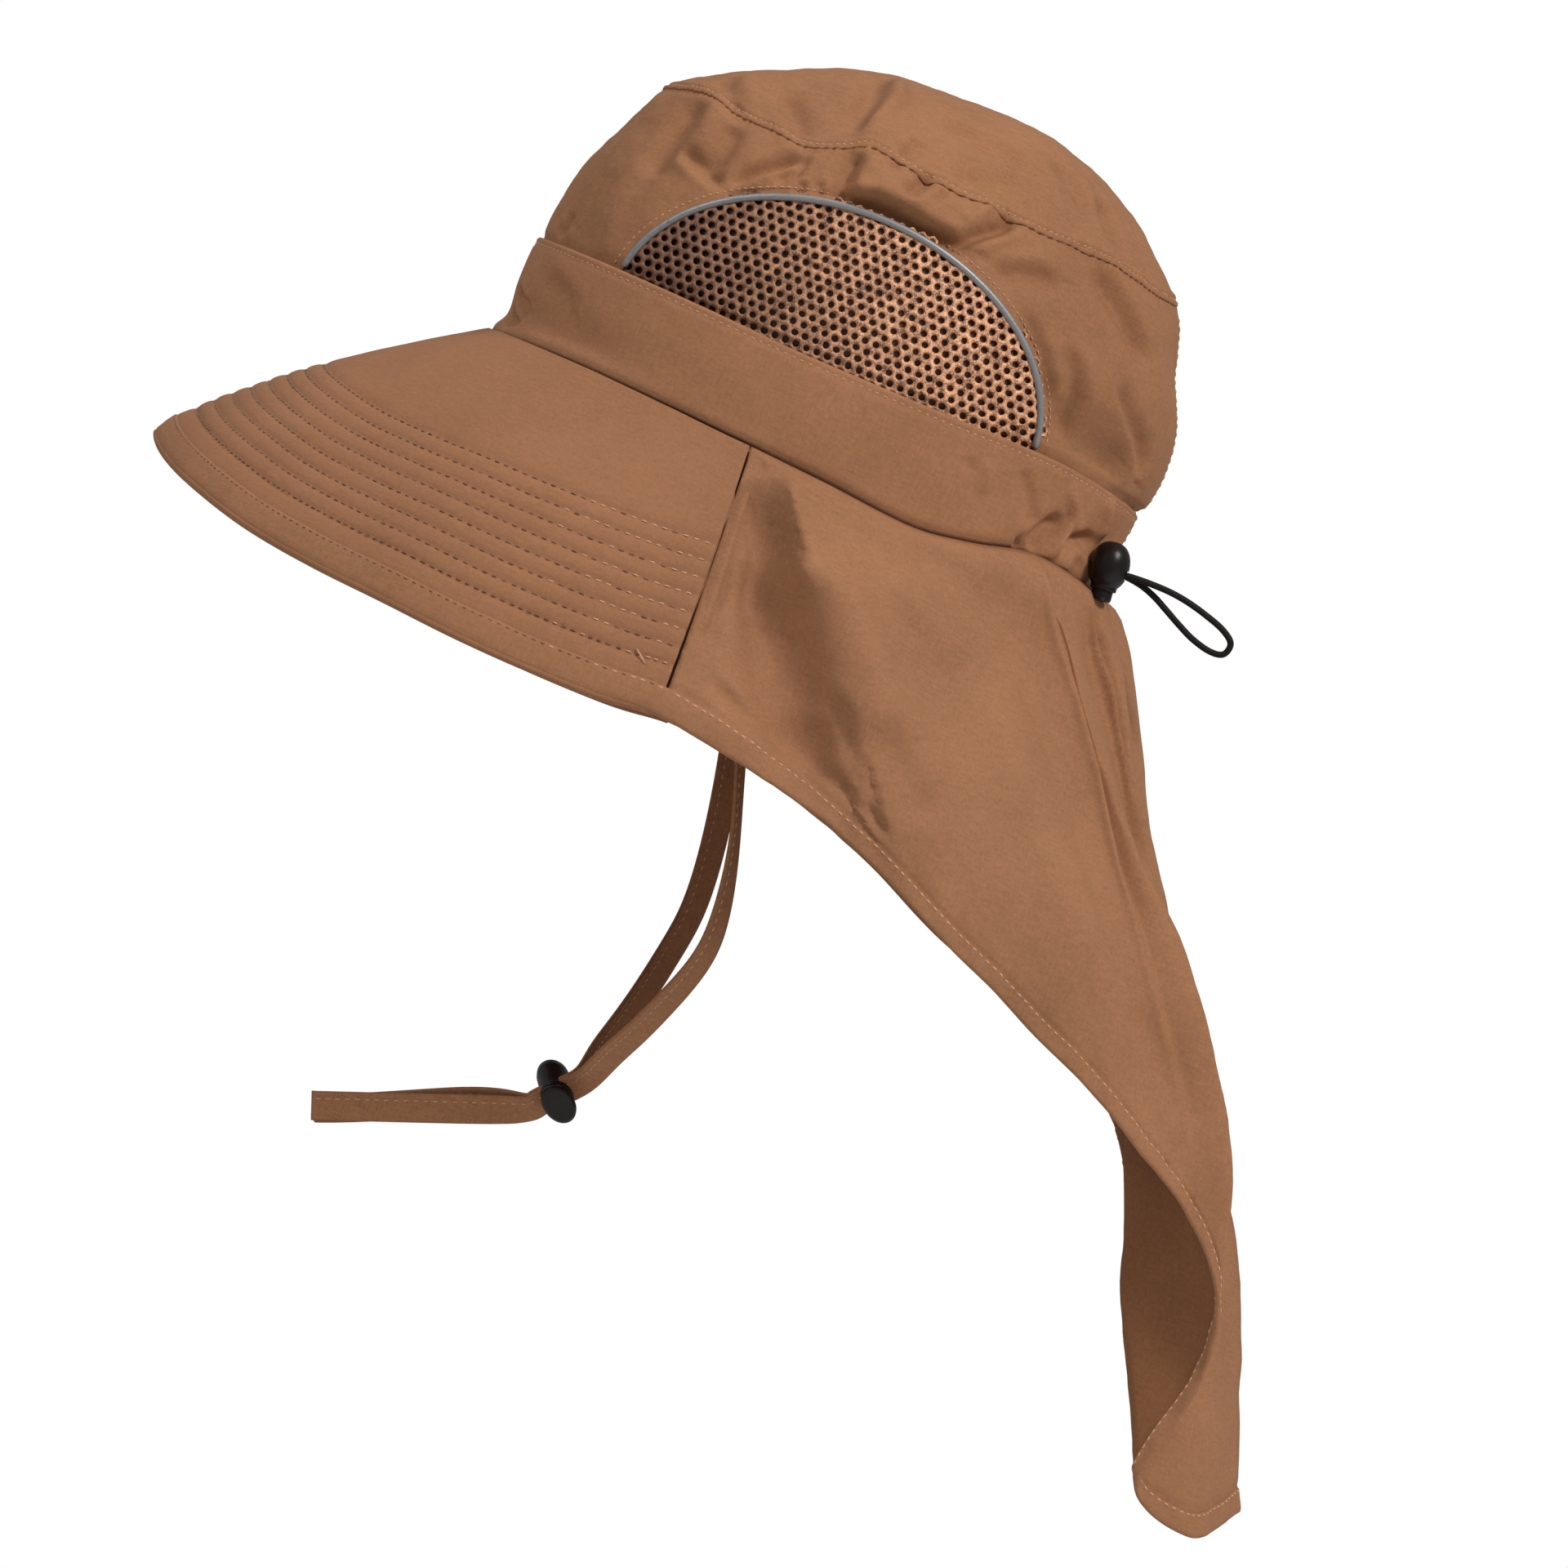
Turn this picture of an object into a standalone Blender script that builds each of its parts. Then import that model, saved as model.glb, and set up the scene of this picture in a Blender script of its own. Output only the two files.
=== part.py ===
"""Outdoor hat with a stiffened visor, a long neck flap, mesh vents, a drawcord and a chin strap.

Metres, +Z up. The origin is the middle of the head opening at the band's lower edge.
The hat is shown worn: it faces -Y, the wearer's left is +X, and the head opening is tilted
back, so its front is higher. The cloth pieces are laid out in the hat's own level frame
(x across, y to the back, z up the crown) and hang under an empty that carries the tilt.
"""

import math

import bmesh
import bpy
from mathutils import Matrix, Vector

# How it is worn
WORN_TILT = math.radians(23.0)      # the head opening's front is raised by this

# Head opening, measured outside the band
HEAD_FRONT = 0.0980                 # origin to the band's front
HEAD_BACK = 0.1040                  # origin to the band's back
HEAD_HALF_WIDTH = 0.0850

# Cloth and clearances
CLOTH_WALL = 0.0012
BAND_WALL = 0.0015                  # the band is two layers
VISOR_WALL = 0.0028                 # cloth over a stiffener
GAP = 0.0003                        # between pieces that touch
TUCK_GAP = 0.0005                   # between the band and the crown inside it

# Band
BAND_HEIGHT = 0.0315
BAND_TUCK = 0.0080                  # how far the crown goes down inside the band

# Crown
SEAM_HEIGHT = 0.0910                # head opening to the top panel's seam
DOME_RISE = 0.0300                  # seam to the apex of the top panel
DOME_SHIFT = 0.0150                 # the apex lies behind the panel's middle by this
SEAM_GAP = 0.0006                   # between the top panel and the side

# Half-moon vents
VENT_HALF_LENGTH = 0.0670
VENT_TOP_MARGIN = 0.0195            # top seam down to the arch
VENT_FOOT = 0.0040                  # how far the window goes down behind the band
PIPING_DIAMETER = 0.0022
MESH_WALL = 0.0020

# Visor
VISOR_LENGTH = 0.1065               # measured over its surface at the front
VISOR_CURL = math.radians(16.0)     # it is this much steeper at its edge than at its root
SIDE_SEAM_ANGLE = 84.0              # degrees from the front to the visor's side seam
SIDE_SEAM_LEAN = math.radians(15.0) # the seam leans back towards its lower end
SIDE_SEAM_GAP = 0.0005              # between the visor and the flap

# Neck flap
FLAP_DROP = 0.2790                  # height from the band to the hem at the centre back

# Chin strap and its lock
STRAP_WIDTH = 0.0090
STRAP_WALL = 0.0010
STRAP_DROP = 0.1953                 # origin down to the lock's slot
STRAP_FORWARD = 0.0716              # origin forward to the lock's slot
STRAP_TAIL = 0.0740                 # slot to the folded end
STRAP_TUCK = 0.0060                 # how far its ends go up inside the band
STRAP_SEAT_GAP = 0.0008             # between the strap and the walls that it lies against
CHIN_LOCK_WIDTH = 0.0127
CHIN_LOCK_DEPTH = 0.0100
CHIN_LOCK_LENGTH = 0.0155
CHIN_SLOT_HEIGHT = 0.0032
CHIN_SLOT_SIDE = 0.0002             # clear of the strap's edge, each side
CHIN_SLOT_TO_RIM = 0.0024
CHIN_HEAD_WIDTH = 0.0150            # the button's flat oval head
CHIN_HEAD_WALL = 0.0022

# Ball lock on the drawcord
CORD_DIAMETER = 0.0020
BACK_LOCK_DIAMETER = 0.0123
BACK_LOCK_LENGTH = 0.0150
BACK_SLOT_HEIGHT = 0.0028
BACK_SLOT_TO_RIM = 0.0060
BACK_BUTTON_DIAMETER = 0.0066
BACK_BUTTON_END = 0.0010
BACK_LOCK_ANGLE = 158.0             # degrees from the front, at the band's back left
BACK_LOCK_HEIGHT = 0.22             # share of the band's height at its slot
BACK_LOCK_REST = 0.0009             # its round body stands off the band's slope by this

# Both locks
PRESS_TRAVEL = 0.0020
LOCK_WALL = 0.0008
LOCK_PLAY = 0.0003                  # button to bore, all round

# Band's lower and upper edge, as shares of BAND_HEIGHT above the head opening, by degrees from the front
# angle, lower, upper
BAND_EDGES = (
    (0, 0.000, 1.000),
    (45, -0.054, 0.911),
    (67, -0.121, 0.860),
    (84, -0.168, 0.815),
    (97, -0.206, 0.810),
    (114, -0.262, 0.825),
    (125, -0.170, 0.845),
    (138, -0.020, 0.857),
    (160, -0.070, 0.800),
    (180, -0.080, 0.772),
)

# Band's reach at shares of its height, as shares of HEAD_FRONT, HEAD_HALF_WIDTH and HEAD_BACK
# height, front, side, back
BAND_SECTIONS = (
    (0.00, 1.022, 1.000, 1.015),
    (0.20, 0.985, 1.000, 0.995),
    (0.55, 0.998, 1.000, 0.995),
    (1.00, 0.993, 0.998, 1.012),
)

# Crown's reach at shares of the way from the band's upper edge to the top seam, as shares of the same sizes
# height, front, side, back
CROWN_SECTIONS = (
    (0.00, 0.976, 0.981, 0.996),
    (0.07, 0.978, 0.988, 1.018),
    (0.24, 0.968, 0.990, 1.032),
    (0.45, 0.942, 0.968, 1.012),
    (0.69, 0.882, 0.930, 0.945),
    (0.89, 0.834, 0.876, 0.890),
    (1.00, 0.784, 0.815, 0.842),
)

# Top panel: height share of DOME_RISE at shares of the way from its edge to its apex
# inward, height
DOME_SECTIONS = (
    (0.00, 0.00),
    (0.06, 0.14),
    (0.15, 0.32),
    (0.30, 0.57),
    (0.50, 0.80),
    (0.72, 0.94),
    (1.00, 1.00),
)

# Creases of the crown: where along the angle and the height each lies, and its depth over CLOTH_WALL
# angle, lean, height, depth, angle_width, height_width
CROWN_CREASES = (
    (150, 8, 0.35, -1.6, 5, 0.30),
    (166, 0, 0.50, -1.2, 4, 0.35),
    (128, -6, 0.78, -1.5, 14, 0.05),
    (210, -8, 0.35, -1.6, 5, 0.30),
    (232, 6, 0.78, -1.5, 14, 0.05),
)

# Visor: length as a share of VISOR_LENGTH and mean fall in degrees, by the share of the way to its side seam
# way, length, fall
VISOR_SECTIONS = (
    (0.00, 1.000, 38.8),
    (0.12, 0.995, 43.0),
    (0.24, 0.990, 47.0),
    (0.36, 0.980, 51.5),
    (0.48, 0.963, 55.0),
    (0.60, 0.940, 58.0),
    (0.71, 0.914, 61.5),
    (0.83, 0.888, 64.0),
    (1.00, 0.850, 66.5),
)

# Flap's hem from the side seam (0) to the centre back (1): how far each point lies outward, backward on the
# near and the far side, and below the band, as shares of FLAP_DROP
# along, out, back_left, back_right, down
FLAP_HEM = (
    (0.00, 0.130, 0.000, 0.000, 0.330),
    (0.17, 0.104, 0.027, 0.027, 0.387),
    (0.35, 0.100, 0.033, 0.033, 0.456),
    (0.52, 0.111, 0.049, 0.062, 0.545),
    (0.66, 0.122, 0.071, 0.078, 0.611),
    (0.76, 0.125, 0.111, 0.070, 0.683),
    (0.82, 0.129, 0.136, 0.060, 0.760),
    (0.87, 0.151, 0.112, 0.058, 0.846),
    (0.91, 0.161, 0.036, 0.056, 0.953),
    (0.95, 0.104, 0.088, 0.095, 1.017),
    (1.00, 0.000, 0.147, 0.147, 1.000),
)
FLAP_BLEND = 0.17                   # share of the hem over which it leaves the visor's line

# How far out the flap hangs on its way down, as a share of its hem's offset
# down, out
FLAP_DRAPE = (
    (0.00, 0.00),
    (0.02, 0.12),
    (0.12, 0.25),
    (0.24, 0.36),
    (0.37, 0.52),
    (0.52, 0.74),
    (0.62, 0.88),
    (0.75, 1.00),
    (0.88, 1.03),
    (1.00, 1.00),
)

# Folds of the flap, as shares of the way from a side seam to the centre back, with depths over FLAP_DROP
# side, at_band, at_hem, depth, width, start, end
FLAP_FOLDS = (
    (1, 0.03, 0.12, -0.018, 0.050, 0.00, 0.95),
    (1, 0.26, 0.34, 0.010, 0.120, 0.10, 1.00),
    (1, 0.45, 0.74, -0.012, 0.060, 0.00, 0.90),
    (1, 0.56, 0.88, 0.019, 0.055, 0.00, 1.00),
    (1, 0.70, 0.93, -0.010, 0.045, 0.00, 0.75),
    (1, 0.84, 0.97, 0.008, 0.040, 0.00, 0.70),
    (-1, 0.05, 0.14, -0.016, 0.055, 0.00, 0.95),
    (-1, 0.34, 0.40, 0.012, 0.110, 0.10, 1.00),
    (-1, 0.52, 0.72, -0.014, 0.060, 0.00, 0.90),
    (-1, 0.62, 0.78, 0.012, 0.055, 0.00, 0.85),
    (-1, 0.84, 0.95, -0.010, 0.050, 0.00, 0.80),
)

# Arms of the chin strap from the band to the lock: down and forward as shares of STRAP_DROP and STRAP_FORWARD,
# out as a share of HEAD_HALF_WIDTH, and the degrees that the strap's face is turned away from the side view
# down, forward, out, turn
LEFT_ARM = (
    (0.200, 0.170, 0.895, -40),
    (0.480, 0.210, 0.835, -80),
    (0.605, 0.225, 0.775, -76),
    (0.723, 0.292, 0.705, -56),
    (0.785, 0.360, 0.635, -48),
    (0.849, 0.520, 0.494, -42),
    (0.905, 0.665, 0.330, -38),
    (0.935, 0.770, 0.200, -36),
)
RIGHT_ARM = (
    (0.200, 0.175, 0.895, -15),
    (0.480, 0.250, 0.830, -33),
    (0.682, 0.380, 0.730, -33),
    (0.746, 0.465, 0.660, -33),
    (0.796, 0.548, 0.585, -33),
    (0.851, 0.640, 0.450, -33),
    (0.908, 0.752, 0.285, -33),
    (0.938, 0.820, 0.175, -33),
)
# Tail of the strap from the lock: forward as a share of STRAP_TAIL, below the slot as a share of STRAP_WIDTH,
# and the face's turn
# forward, sink, turn
TAIL = (
    (0.26, 0.52, -12),
    (0.60, 0.48, 0),
    (1.00, 0.40, 0),
)

CHIN_LOCK_AXIS = Vector((-0.83, -0.14, 0.53))       # from the button to the domed end
CHIN_LOCK_THROUGH = Vector((-0.12, -0.87, -0.42))   # the way that the strap runs through

BACK_LOCK_AXIS = Vector((0.0, 0.27, 0.96))
BACK_LOCK_THROUGH = Vector((0.0, 0.96, -0.27))      # the way that the cord runs through

# Drawcord: across, back and up from the ball lock's slot, in metres, from the band and back to it
CORD_ROUTE = (
    (0.0013, -0.0058, 0.0016),
    (0.0013, -0.0030, 0.0008),
    (0.0013, 0.0000, 0.0000),
    (0.0013, 0.0040, -0.0011),
    (0.0014, 0.0080, -0.0023),
    (0.0014, 0.0128, -0.0040),
    (0.0010, 0.0185, -0.0064),
    (0.0004, 0.0239, -0.0094),
    (-0.0002, 0.0295, -0.0134),
    (-0.0010, 0.0346, -0.0178),
    (-0.0015, 0.0370, -0.0219),
    (-0.0018, 0.0349, -0.0251),
    (-0.0018, 0.0308, -0.0243),
    (-0.0017, 0.0256, -0.0206),
    (-0.0016, 0.0212, -0.0160),
    (-0.0015, 0.0174, -0.0116),
    (-0.0014, 0.0138, -0.0076),
    (-0.0013, 0.0096, -0.0041),
    (-0.0013, 0.0040, -0.0011),
    (-0.0013, 0.0000, 0.0000),
    (-0.0013, -0.0030, 0.0008),
    (-0.0013, -0.0058, 0.0016),
)


def clear_scene():
    for obj in list(bpy.data.objects):
        bpy.data.objects.remove(obj, do_unlink=True)


def new_collection(name):
    collection = bpy.data.collections.new(name)
    bpy.context.scene.collection.children.link(collection)
    return collection


def new_material(name, colour, roughness, metallic=0.0):
    material = bpy.data.materials.new(name)
    material.use_nodes = True
    shader = material.node_tree.nodes["Principled BSDF"]
    shader.inputs["Base Color"].default_value = (*colour, 1.0)
    shader.inputs["Roughness"].default_value = roughness
    shader.inputs["Metallic"].default_value = metallic
    return material


def new_object(name, mesh, collection, material=None, parent=None):
    obj = bpy.data.objects.new(name, mesh)
    collection.objects.link(obj)
    obj.parent = parent
    if material:
        mesh.materials.append(material)
    return obj


def new_empty(name, collection, matrix):
    empty = bpy.data.objects.new(name, None)
    collection.objects.link(empty)
    empty.matrix_world = matrix
    return empty


def table_value(rows, at, column):
    """Read one column of a table at a place in its first column, smoothly."""
    if at <= rows[0][0]:
        return rows[0][column]
    if at >= rows[-1][0]:
        return rows[-1][column]
    last = len(rows) - 1
    index = max(i for i in range(last) if rows[i][0] <= at)

    def slope(i):
        low, high = max(i - 1, 0), min(i + 1, last)
        return (rows[high][column] - rows[low][column]) / (rows[high][0] - rows[low][0])

    span = rows[index + 1][0] - rows[index][0]
    t = (at - rows[index][0]) / span
    start, end = rows[index][column], rows[index + 1][column]
    rise = end - start
    return (
        start
        + rise * t * t * (3 - 2 * t)
        + span * slope(index) * t * (1 - t) ** 2
        - span * slope(index + 1) * t * t * (1 - t)
    )


def ease(t):
    """A smooth step from 0 to 1."""
    t = min(max(t, 0.0), 1.0)
    return t * t * (3 - 2 * t)


def from_front(angle):
    """Degrees from the front, the same on both sides."""
    return 180.0 - abs(180.0 - angle % 360.0)


def outline(angle, front, side, back):
    """A point of an oval round the head, with its angle in degrees from the front towards the wearer's left."""
    turn = math.radians(angle)
    reach = front if math.cos(turn) > 0 else back
    return Vector((side * math.sin(turn), -reach * math.cos(turn), 0.0))


def band_lower(angle):
    return BAND_HEIGHT * table_value(BAND_EDGES, from_front(angle), 1)


def band_upper(angle):
    return BAND_HEIGHT * table_value(BAND_EDGES, from_front(angle), 2)


def band_point(angle, share, inset=0.0):
    reaches = [table_value(BAND_SECTIONS, share, column) for column in (1, 2, 3)]
    point = outline(
        angle,
        reaches[0] * HEAD_FRONT - inset,
        reaches[1] * HEAD_HALF_WIDTH - inset,
        reaches[2] * HEAD_BACK - inset,
    )
    low, high = band_lower(angle), band_upper(angle)
    point.z = low + share * (high - low)
    return point


def crown_crease(angle, share):
    total = 0.0
    for at, lean, height, depth, angle_width, height_width in CROWN_CREASES:
        across = (angle - at - lean * (share - height)) / angle_width
        up = (share - height) / height_width
        total += CLOTH_WALL * depth * math.exp(-across * across - up * up)
    return total * ease(share / 0.1) * ease((1 - share) / 0.1)


def crown_point(angle, share, inset=0.0):
    """A point of the crown's side: 0 at the band's upper edge, 1 at the top seam, below 0 inside the band."""
    if share < 0:
        low, high = band_lower(angle), band_upper(angle)
        return band_point(angle, 1.0 + share * BAND_TUCK / (high - low), BAND_WALL + TUCK_GAP + inset)
    inset -= crown_crease(angle, share)
    sizes = (HEAD_FRONT, HEAD_HALF_WIDTH, HEAD_BACK)
    hidden = [table_value(BAND_SECTIONS, 1.0, column) for column in (1, 2, 3)]
    leave = ease(share / 0.05)
    reaches = []
    for column, size in enumerate(sizes, start=1):
        tucked = hidden[column - 1] * size - BAND_WALL - TUCK_GAP
        free = table_value(CROWN_SECTIONS, share, column) * size
        reaches.append(tucked + leave * (free - tucked) - inset)
    point = outline(angle, *reaches)
    low = band_upper(angle)
    point.z = low + share * (SEAM_HEIGHT - low)
    return point


def visor_point(angle, share):
    """A point of the visor's upper face: 0 under the band, 1 at the edge."""
    way = from_front(angle) / SIDE_SEAM_ANGLE
    length = VISOR_LENGTH * table_value(VISOR_SECTIONS, way, 1)
    fall = math.radians(table_value(VISOR_SECTIONS, way, 2))
    root = band_point(angle, 0.0)
    near, far = band_point(angle - 0.5, 0.0), band_point(angle + 0.5, 0.0)
    outward = Vector((far.y - near.y, near.x - far.x, 0.0)).normalized()
    side = 1 if angle % 360.0 < 180.0 else -1
    outward.rotate(Matrix.Rotation(side * SIDE_SEAM_LEAN * min(way, 1.3) ** 2, 3, "Z"))
    start = fall - VISOR_CURL / 2
    end = start + VISOR_CURL * share
    out = length * (math.sin(end) - math.sin(start)) / VISOR_CURL
    down = length * (math.cos(start) - math.cos(end)) / VISOR_CURL
    return root + out * outward - Vector((0, 0, down + GAP))


def hanging(out, back, down):
    """A step given as out to the left, backward and down in the room, in the hat's tilted frame."""
    cos, sin = math.cos(WORN_TILT), math.sin(WORN_TILT)
    return Vector((out, back * cos + down * sin, back * sin - down * cos))


def flap_point(angle, share):
    """A point of the neck flap's outer face: 0 under the band, 1 at the hem."""
    side = 1 if angle < 180.0 else -1
    along = 1 - abs(180.0 - angle) / (180.0 - SIDE_SEAM_ANGLE)
    out = side * FLAP_DROP * table_value(FLAP_HEM, along, 1)
    back = FLAP_DROP * table_value(FLAP_HEM, along, 2 if side > 0 else 3)
    down = FLAP_DROP * table_value(FLAP_HEM, along, 4)
    drape = table_value(FLAP_DRAPE, share, 1)
    root = band_point(angle, 0.0) - Vector((0, 0, GAP))
    hung = root + hanging(out * drape, back * drape, down * share)
    point = visor_point(angle, share).lerp(hung, ease(along / FLAP_BLEND))
    fold = 0.0
    for fold_side, at_band, at_hem, depth, width, start, end in FLAP_FOLDS:
        if fold_side != side:
            continue
        across = (along - at_band - (at_hem - at_band) * share) / width
        ends = ease((share - start) / 0.12) * (1 - ease((share - end) / 0.12))
        fold += FLAP_DROP * depth * math.exp(-across * across) * ends
    fold *= ease((along - 0.03) / 0.08) * ease((1 - along) / 0.06)
    turn = math.radians(angle)
    return point + fold * hanging(math.sin(turn), -math.cos(turn), 0.0)


def grid_mesh(name, columns, rows, place, closed=False):
    """A sheet laid out by a rule: place(across, up) takes two shares and gives a point."""
    bm = bmesh.new()
    bmesh.ops.create_grid(bm, x_segments=columns, y_segments=rows, size=0.5)
    for vert in bm.verts:
        vert.co = place(vert.co.x + 0.5, vert.co.y + 0.5)
    if closed:
        bmesh.ops.remove_doubles(bm, verts=bm.verts, dist=1e-6)
    mesh = bpy.data.meshes.new(name)
    bm.to_mesh(mesh)
    bm.free()
    mesh.shade_smooth()
    return mesh


def add_wall(obj, thickness, offset=-1.0):
    solidify = obj.modifiers.new("wall", "SOLIDIFY")
    solidify.thickness = thickness
    solidify.offset = offset
    solidify.use_quality_normals = True


def add_cut(obj, cutter):
    cut = obj.modifiers.new("cut_" + cutter.name, "BOOLEAN")
    cut.operation = "DIFFERENCE"
    cut.solver = "EXACT"
    cut.object = cutter


def as_cutter(obj):
    obj.hide_render = True
    obj.display_type = "WIRE"
    return obj


def make_band(hat, parts, cloth):
    mesh = grid_mesh("band", 56, 3, lambda across, up: band_point(360 * across, up), closed=True)
    band = new_object("band", mesh, parts, cloth, hat)
    add_wall(band, BAND_WALL)


def vent_foot():
    """Lowest height of the windows, behind the band."""
    return band_upper(90.0) - VENT_FOOT


def vent_rise():
    """From the windows' lower edge to the top of the arch."""
    return SEAM_HEIGHT - VENT_TOP_MARGIN - vent_foot()


def arch_point(turn, inset):
    """A point of the vent's arch, seen from the side: turn 0 at its front foot, 180 at its back foot."""
    turn = math.radians(turn)
    straight = VENT_FOOT
    y = -(VENT_HALF_LENGTH - inset) * math.cos(turn)
    z = vent_foot() + straight + (vent_rise() - straight - inset) * math.sin(turn)
    return y, z


def crown_at(y, z, side, inset):
    """The crown's side at a height and a place along the hat."""
    reach = HEAD_FRONT if y < 0 else HEAD_BACK
    angle = crown_angle(y)
    for _ in range(6):
        low = band_upper(angle)
        share = (z - low) / (SEAM_HEIGHT - low) if z >= low else (z - low) / BAND_TUCK
        point = crown_point(angle, share, inset)
        angle += math.degrees((y - point.y) / reach) / max(0.3, math.sin(math.radians(angle)))
    return Vector((side * point.x, y, z))


def make_window_cutter(side, tools, hat):
    """A block with the window's outline, through one side of the crown."""
    inset = -(PIPING_DIAMETER / 2 + GAP)
    points = [arch_point(turn, inset) for turn in range(0, 181, 10)]
    foot = vent_foot()
    points = [(points[0][0], foot)] + points + [(points[-1][0], foot)]
    curve = bpy.data.curves.new("window_outline", "CURVE")
    curve.dimensions = "2D"
    curve.fill_mode = "BOTH"
    curve.extrude = HEAD_HALF_WIDTH / 3
    spline = curve.splines.new("POLY")
    spline.points.add(len(points) - 1)
    for spot, (y, z) in zip(spline.points, points):
        spot.co = (y, z, 0.0, 1.0)
    spline.use_cyclic_u = True
    flat = bpy.data.objects.new("window_outline", curve)
    tools.objects.link(flat)
    mesh = bpy.data.meshes.new_from_object(flat.evaluated_get(bpy.context.evaluated_depsgraph_get()))
    bpy.data.objects.remove(flat, do_unlink=True)
    upright = Matrix(((0, 0, 1), (1, 0, 0), (0, 1, 0))).to_4x4()
    bm = bmesh.new()
    bm.from_mesh(mesh)
    bmesh.ops.remove_doubles(bm, verts=bm.verts, dist=1e-6)
    bmesh.ops.transform(bm, matrix=upright, verts=bm.verts)
    bmesh.ops.recalc_face_normals(bm, faces=bm.faces)
    bm.to_mesh(mesh)
    bm.free()
    name = "window_left" if side > 0 else "window_right"
    cutter = as_cutter(new_object(name, mesh, tools, None, hat))
    cutter.location.x = side * HEAD_HALF_WIDTH * 0.8
    return cutter


def make_crown_side(hat, parts, tools, cloth):
    heights = (-1.0, -0.02, 0.05, 0.18, 0.34, 0.50, 0.67, 0.82, 0.92, 1.00)

    def place(across, up):
        return crown_point(360 * across, heights[round(up * (len(heights) - 1))])

    mesh = grid_mesh("crown_side", 44, len(heights) - 1, place, closed=True)
    crown = new_object("crown_side", mesh, parts, cloth, hat)
    add_wall(crown, CLOTH_WALL)
    for side in (1, -1):
        add_cut(crown, make_window_cutter(side, tools, hat))


def make_crown_top(hat, parts, cloth):
    rings = (0.0, 0.08, 0.20, 0.35, 0.52, 0.74, 1.0)

    def place(across, up):
        inward = rings[round(up * (len(rings) - 1))]
        edge = crown_point(360 * across, 1.0, SEAM_GAP * 0.7)
        middle = (crown_point(0, 1.0) + crown_point(180, 1.0)) / 2
        apex = middle + Vector((0, DOME_SHIFT, 0))
        point = edge.lerp(apex, inward)
        point.z = SEAM_HEIGHT + SEAM_GAP * 0.7 + DOME_RISE * table_value(DOME_SECTIONS, inward, 1)
        return point

    mesh = grid_mesh("crown_top", 32, len(rings) - 1, place, closed=True)
    top = new_object("crown_top", mesh, parts, cloth, hat)
    add_wall(top, CLOTH_WALL)


def make_vent_mesh(side, hat, parts, material):
    inset = PIPING_DIAMETER / 2 + GAP
    sink = (MESH_WALL - CLOTH_WALL) / 4

    rows = 6

    def place(across, up):
        turn = 180 * across if side > 0 else 180 * (1 - across)
        y, top = arch_point(turn, inset)
        foot = vent_foot() + GAP
        lip = min(band_upper(crown_angle(y)) + GAP, (foot + top) / 2)
        row = round(up * rows)
        z = foot if row == 0 else lip + (top - lip) * (row - 1) / (rows - 1)
        return crown_at(y, z, side, sink)

    name = "vent_mesh_left" if side > 0 else "vent_mesh_right"
    panel = new_object(name, grid_mesh(name, 16, rows, place), parts, material, hat)
    add_wall(panel, MESH_WALL)


def crown_angle(y):
    """Degrees from the front at a place along the hat."""
    reach = HEAD_FRONT if y < 0 else HEAD_BACK
    return 90.0 + math.degrees(math.asin(max(-1.0, min(1.0, y / reach))))


def arch_above_band(turn):
    y, z = arch_point(turn, 0.0)
    return z - band_upper(crown_angle(y))


def make_piping(side, hat, parts, material):
    name = "vent_piping_left" if side > 0 else "vent_piping_right"
    curve = bpy.data.curves.new(name, "CURVE")
    curve.dimensions = "3D"
    curve.bevel_depth = PIPING_DIAMETER / 2
    curve.bevel_resolution = 2
    curve.use_fill_caps = True
    clear = [turn for turn in range(0, 181) if arch_above_band(turn) > PIPING_DIAMETER / 2 + GAP]
    steps = 18
    points = []
    for step in range(steps + 1):
        turn = clear[0] + (clear[-1] - clear[0]) * step / steps
        points.append(crown_at(*arch_point(turn, 0.0), side, CLOTH_WALL / 2))
    spline = curve.splines.new("POLY")
    spline.points.add(len(points) - 1)
    for spot, point in zip(spline.points, points):
        spot.co = (*point, 1.0)
    curve.materials.append(material)
    piping = bpy.data.objects.new(name, curve)
    parts.objects.link(piping)
    piping.parent = hat


def seam_half_gap():
    """Half the angle that keeps the visor and the flap apart at their side seams."""
    return math.degrees(SIDE_SEAM_GAP / HEAD_HALF_WIDTH) / 2


def make_visor(hat, parts, cloth):
    reach = SIDE_SEAM_ANGLE - seam_half_gap()

    def place(across, up):
        return visor_point(reach * (2 * across - 1), 1 - up)

    visor = new_object("visor", grid_mesh("visor", 34, 6, place), parts, cloth, hat)
    add_wall(visor, VISOR_WALL)


def make_flap(hat, parts, cloth):
    start = SIDE_SEAM_ANGLE + seam_half_gap()

    def place(across, up):
        return flap_point(start + (360.0 - 2 * start) * across, 1 - up)

    flap = new_object("neck_flap", grid_mesh("neck_flap", 56, 12, place), parts, cloth, hat)
    add_wall(flap, CLOTH_WALL)


def arm_points(rows, side):
    """From inside the band, past the visor's root, and down to the lock."""
    tilt = Matrix.Rotation(-WORN_TILT, 3, "X")
    points = []
    for wall, height in ((BAND_WALL, STRAP_TUCK), (VISOR_WALL, 0.0), (VISOR_WALL, -STRAP_TUCK)):
        spot = band_point(SIDE_SEAM_ANGLE, 0.0, wall + STRAP_SEAT_GAP + STRAP_WALL / 2)
        spot.x *= side
        spot.z += height
        points.append((tilt @ spot, 0))
    for down, forward, out, turn in rows:
        spot = Vector((side * out * HEAD_HALF_WIDTH, -forward * STRAP_FORWARD, -down * STRAP_DROP))
        points.append((spot, turn))
    return points


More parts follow.
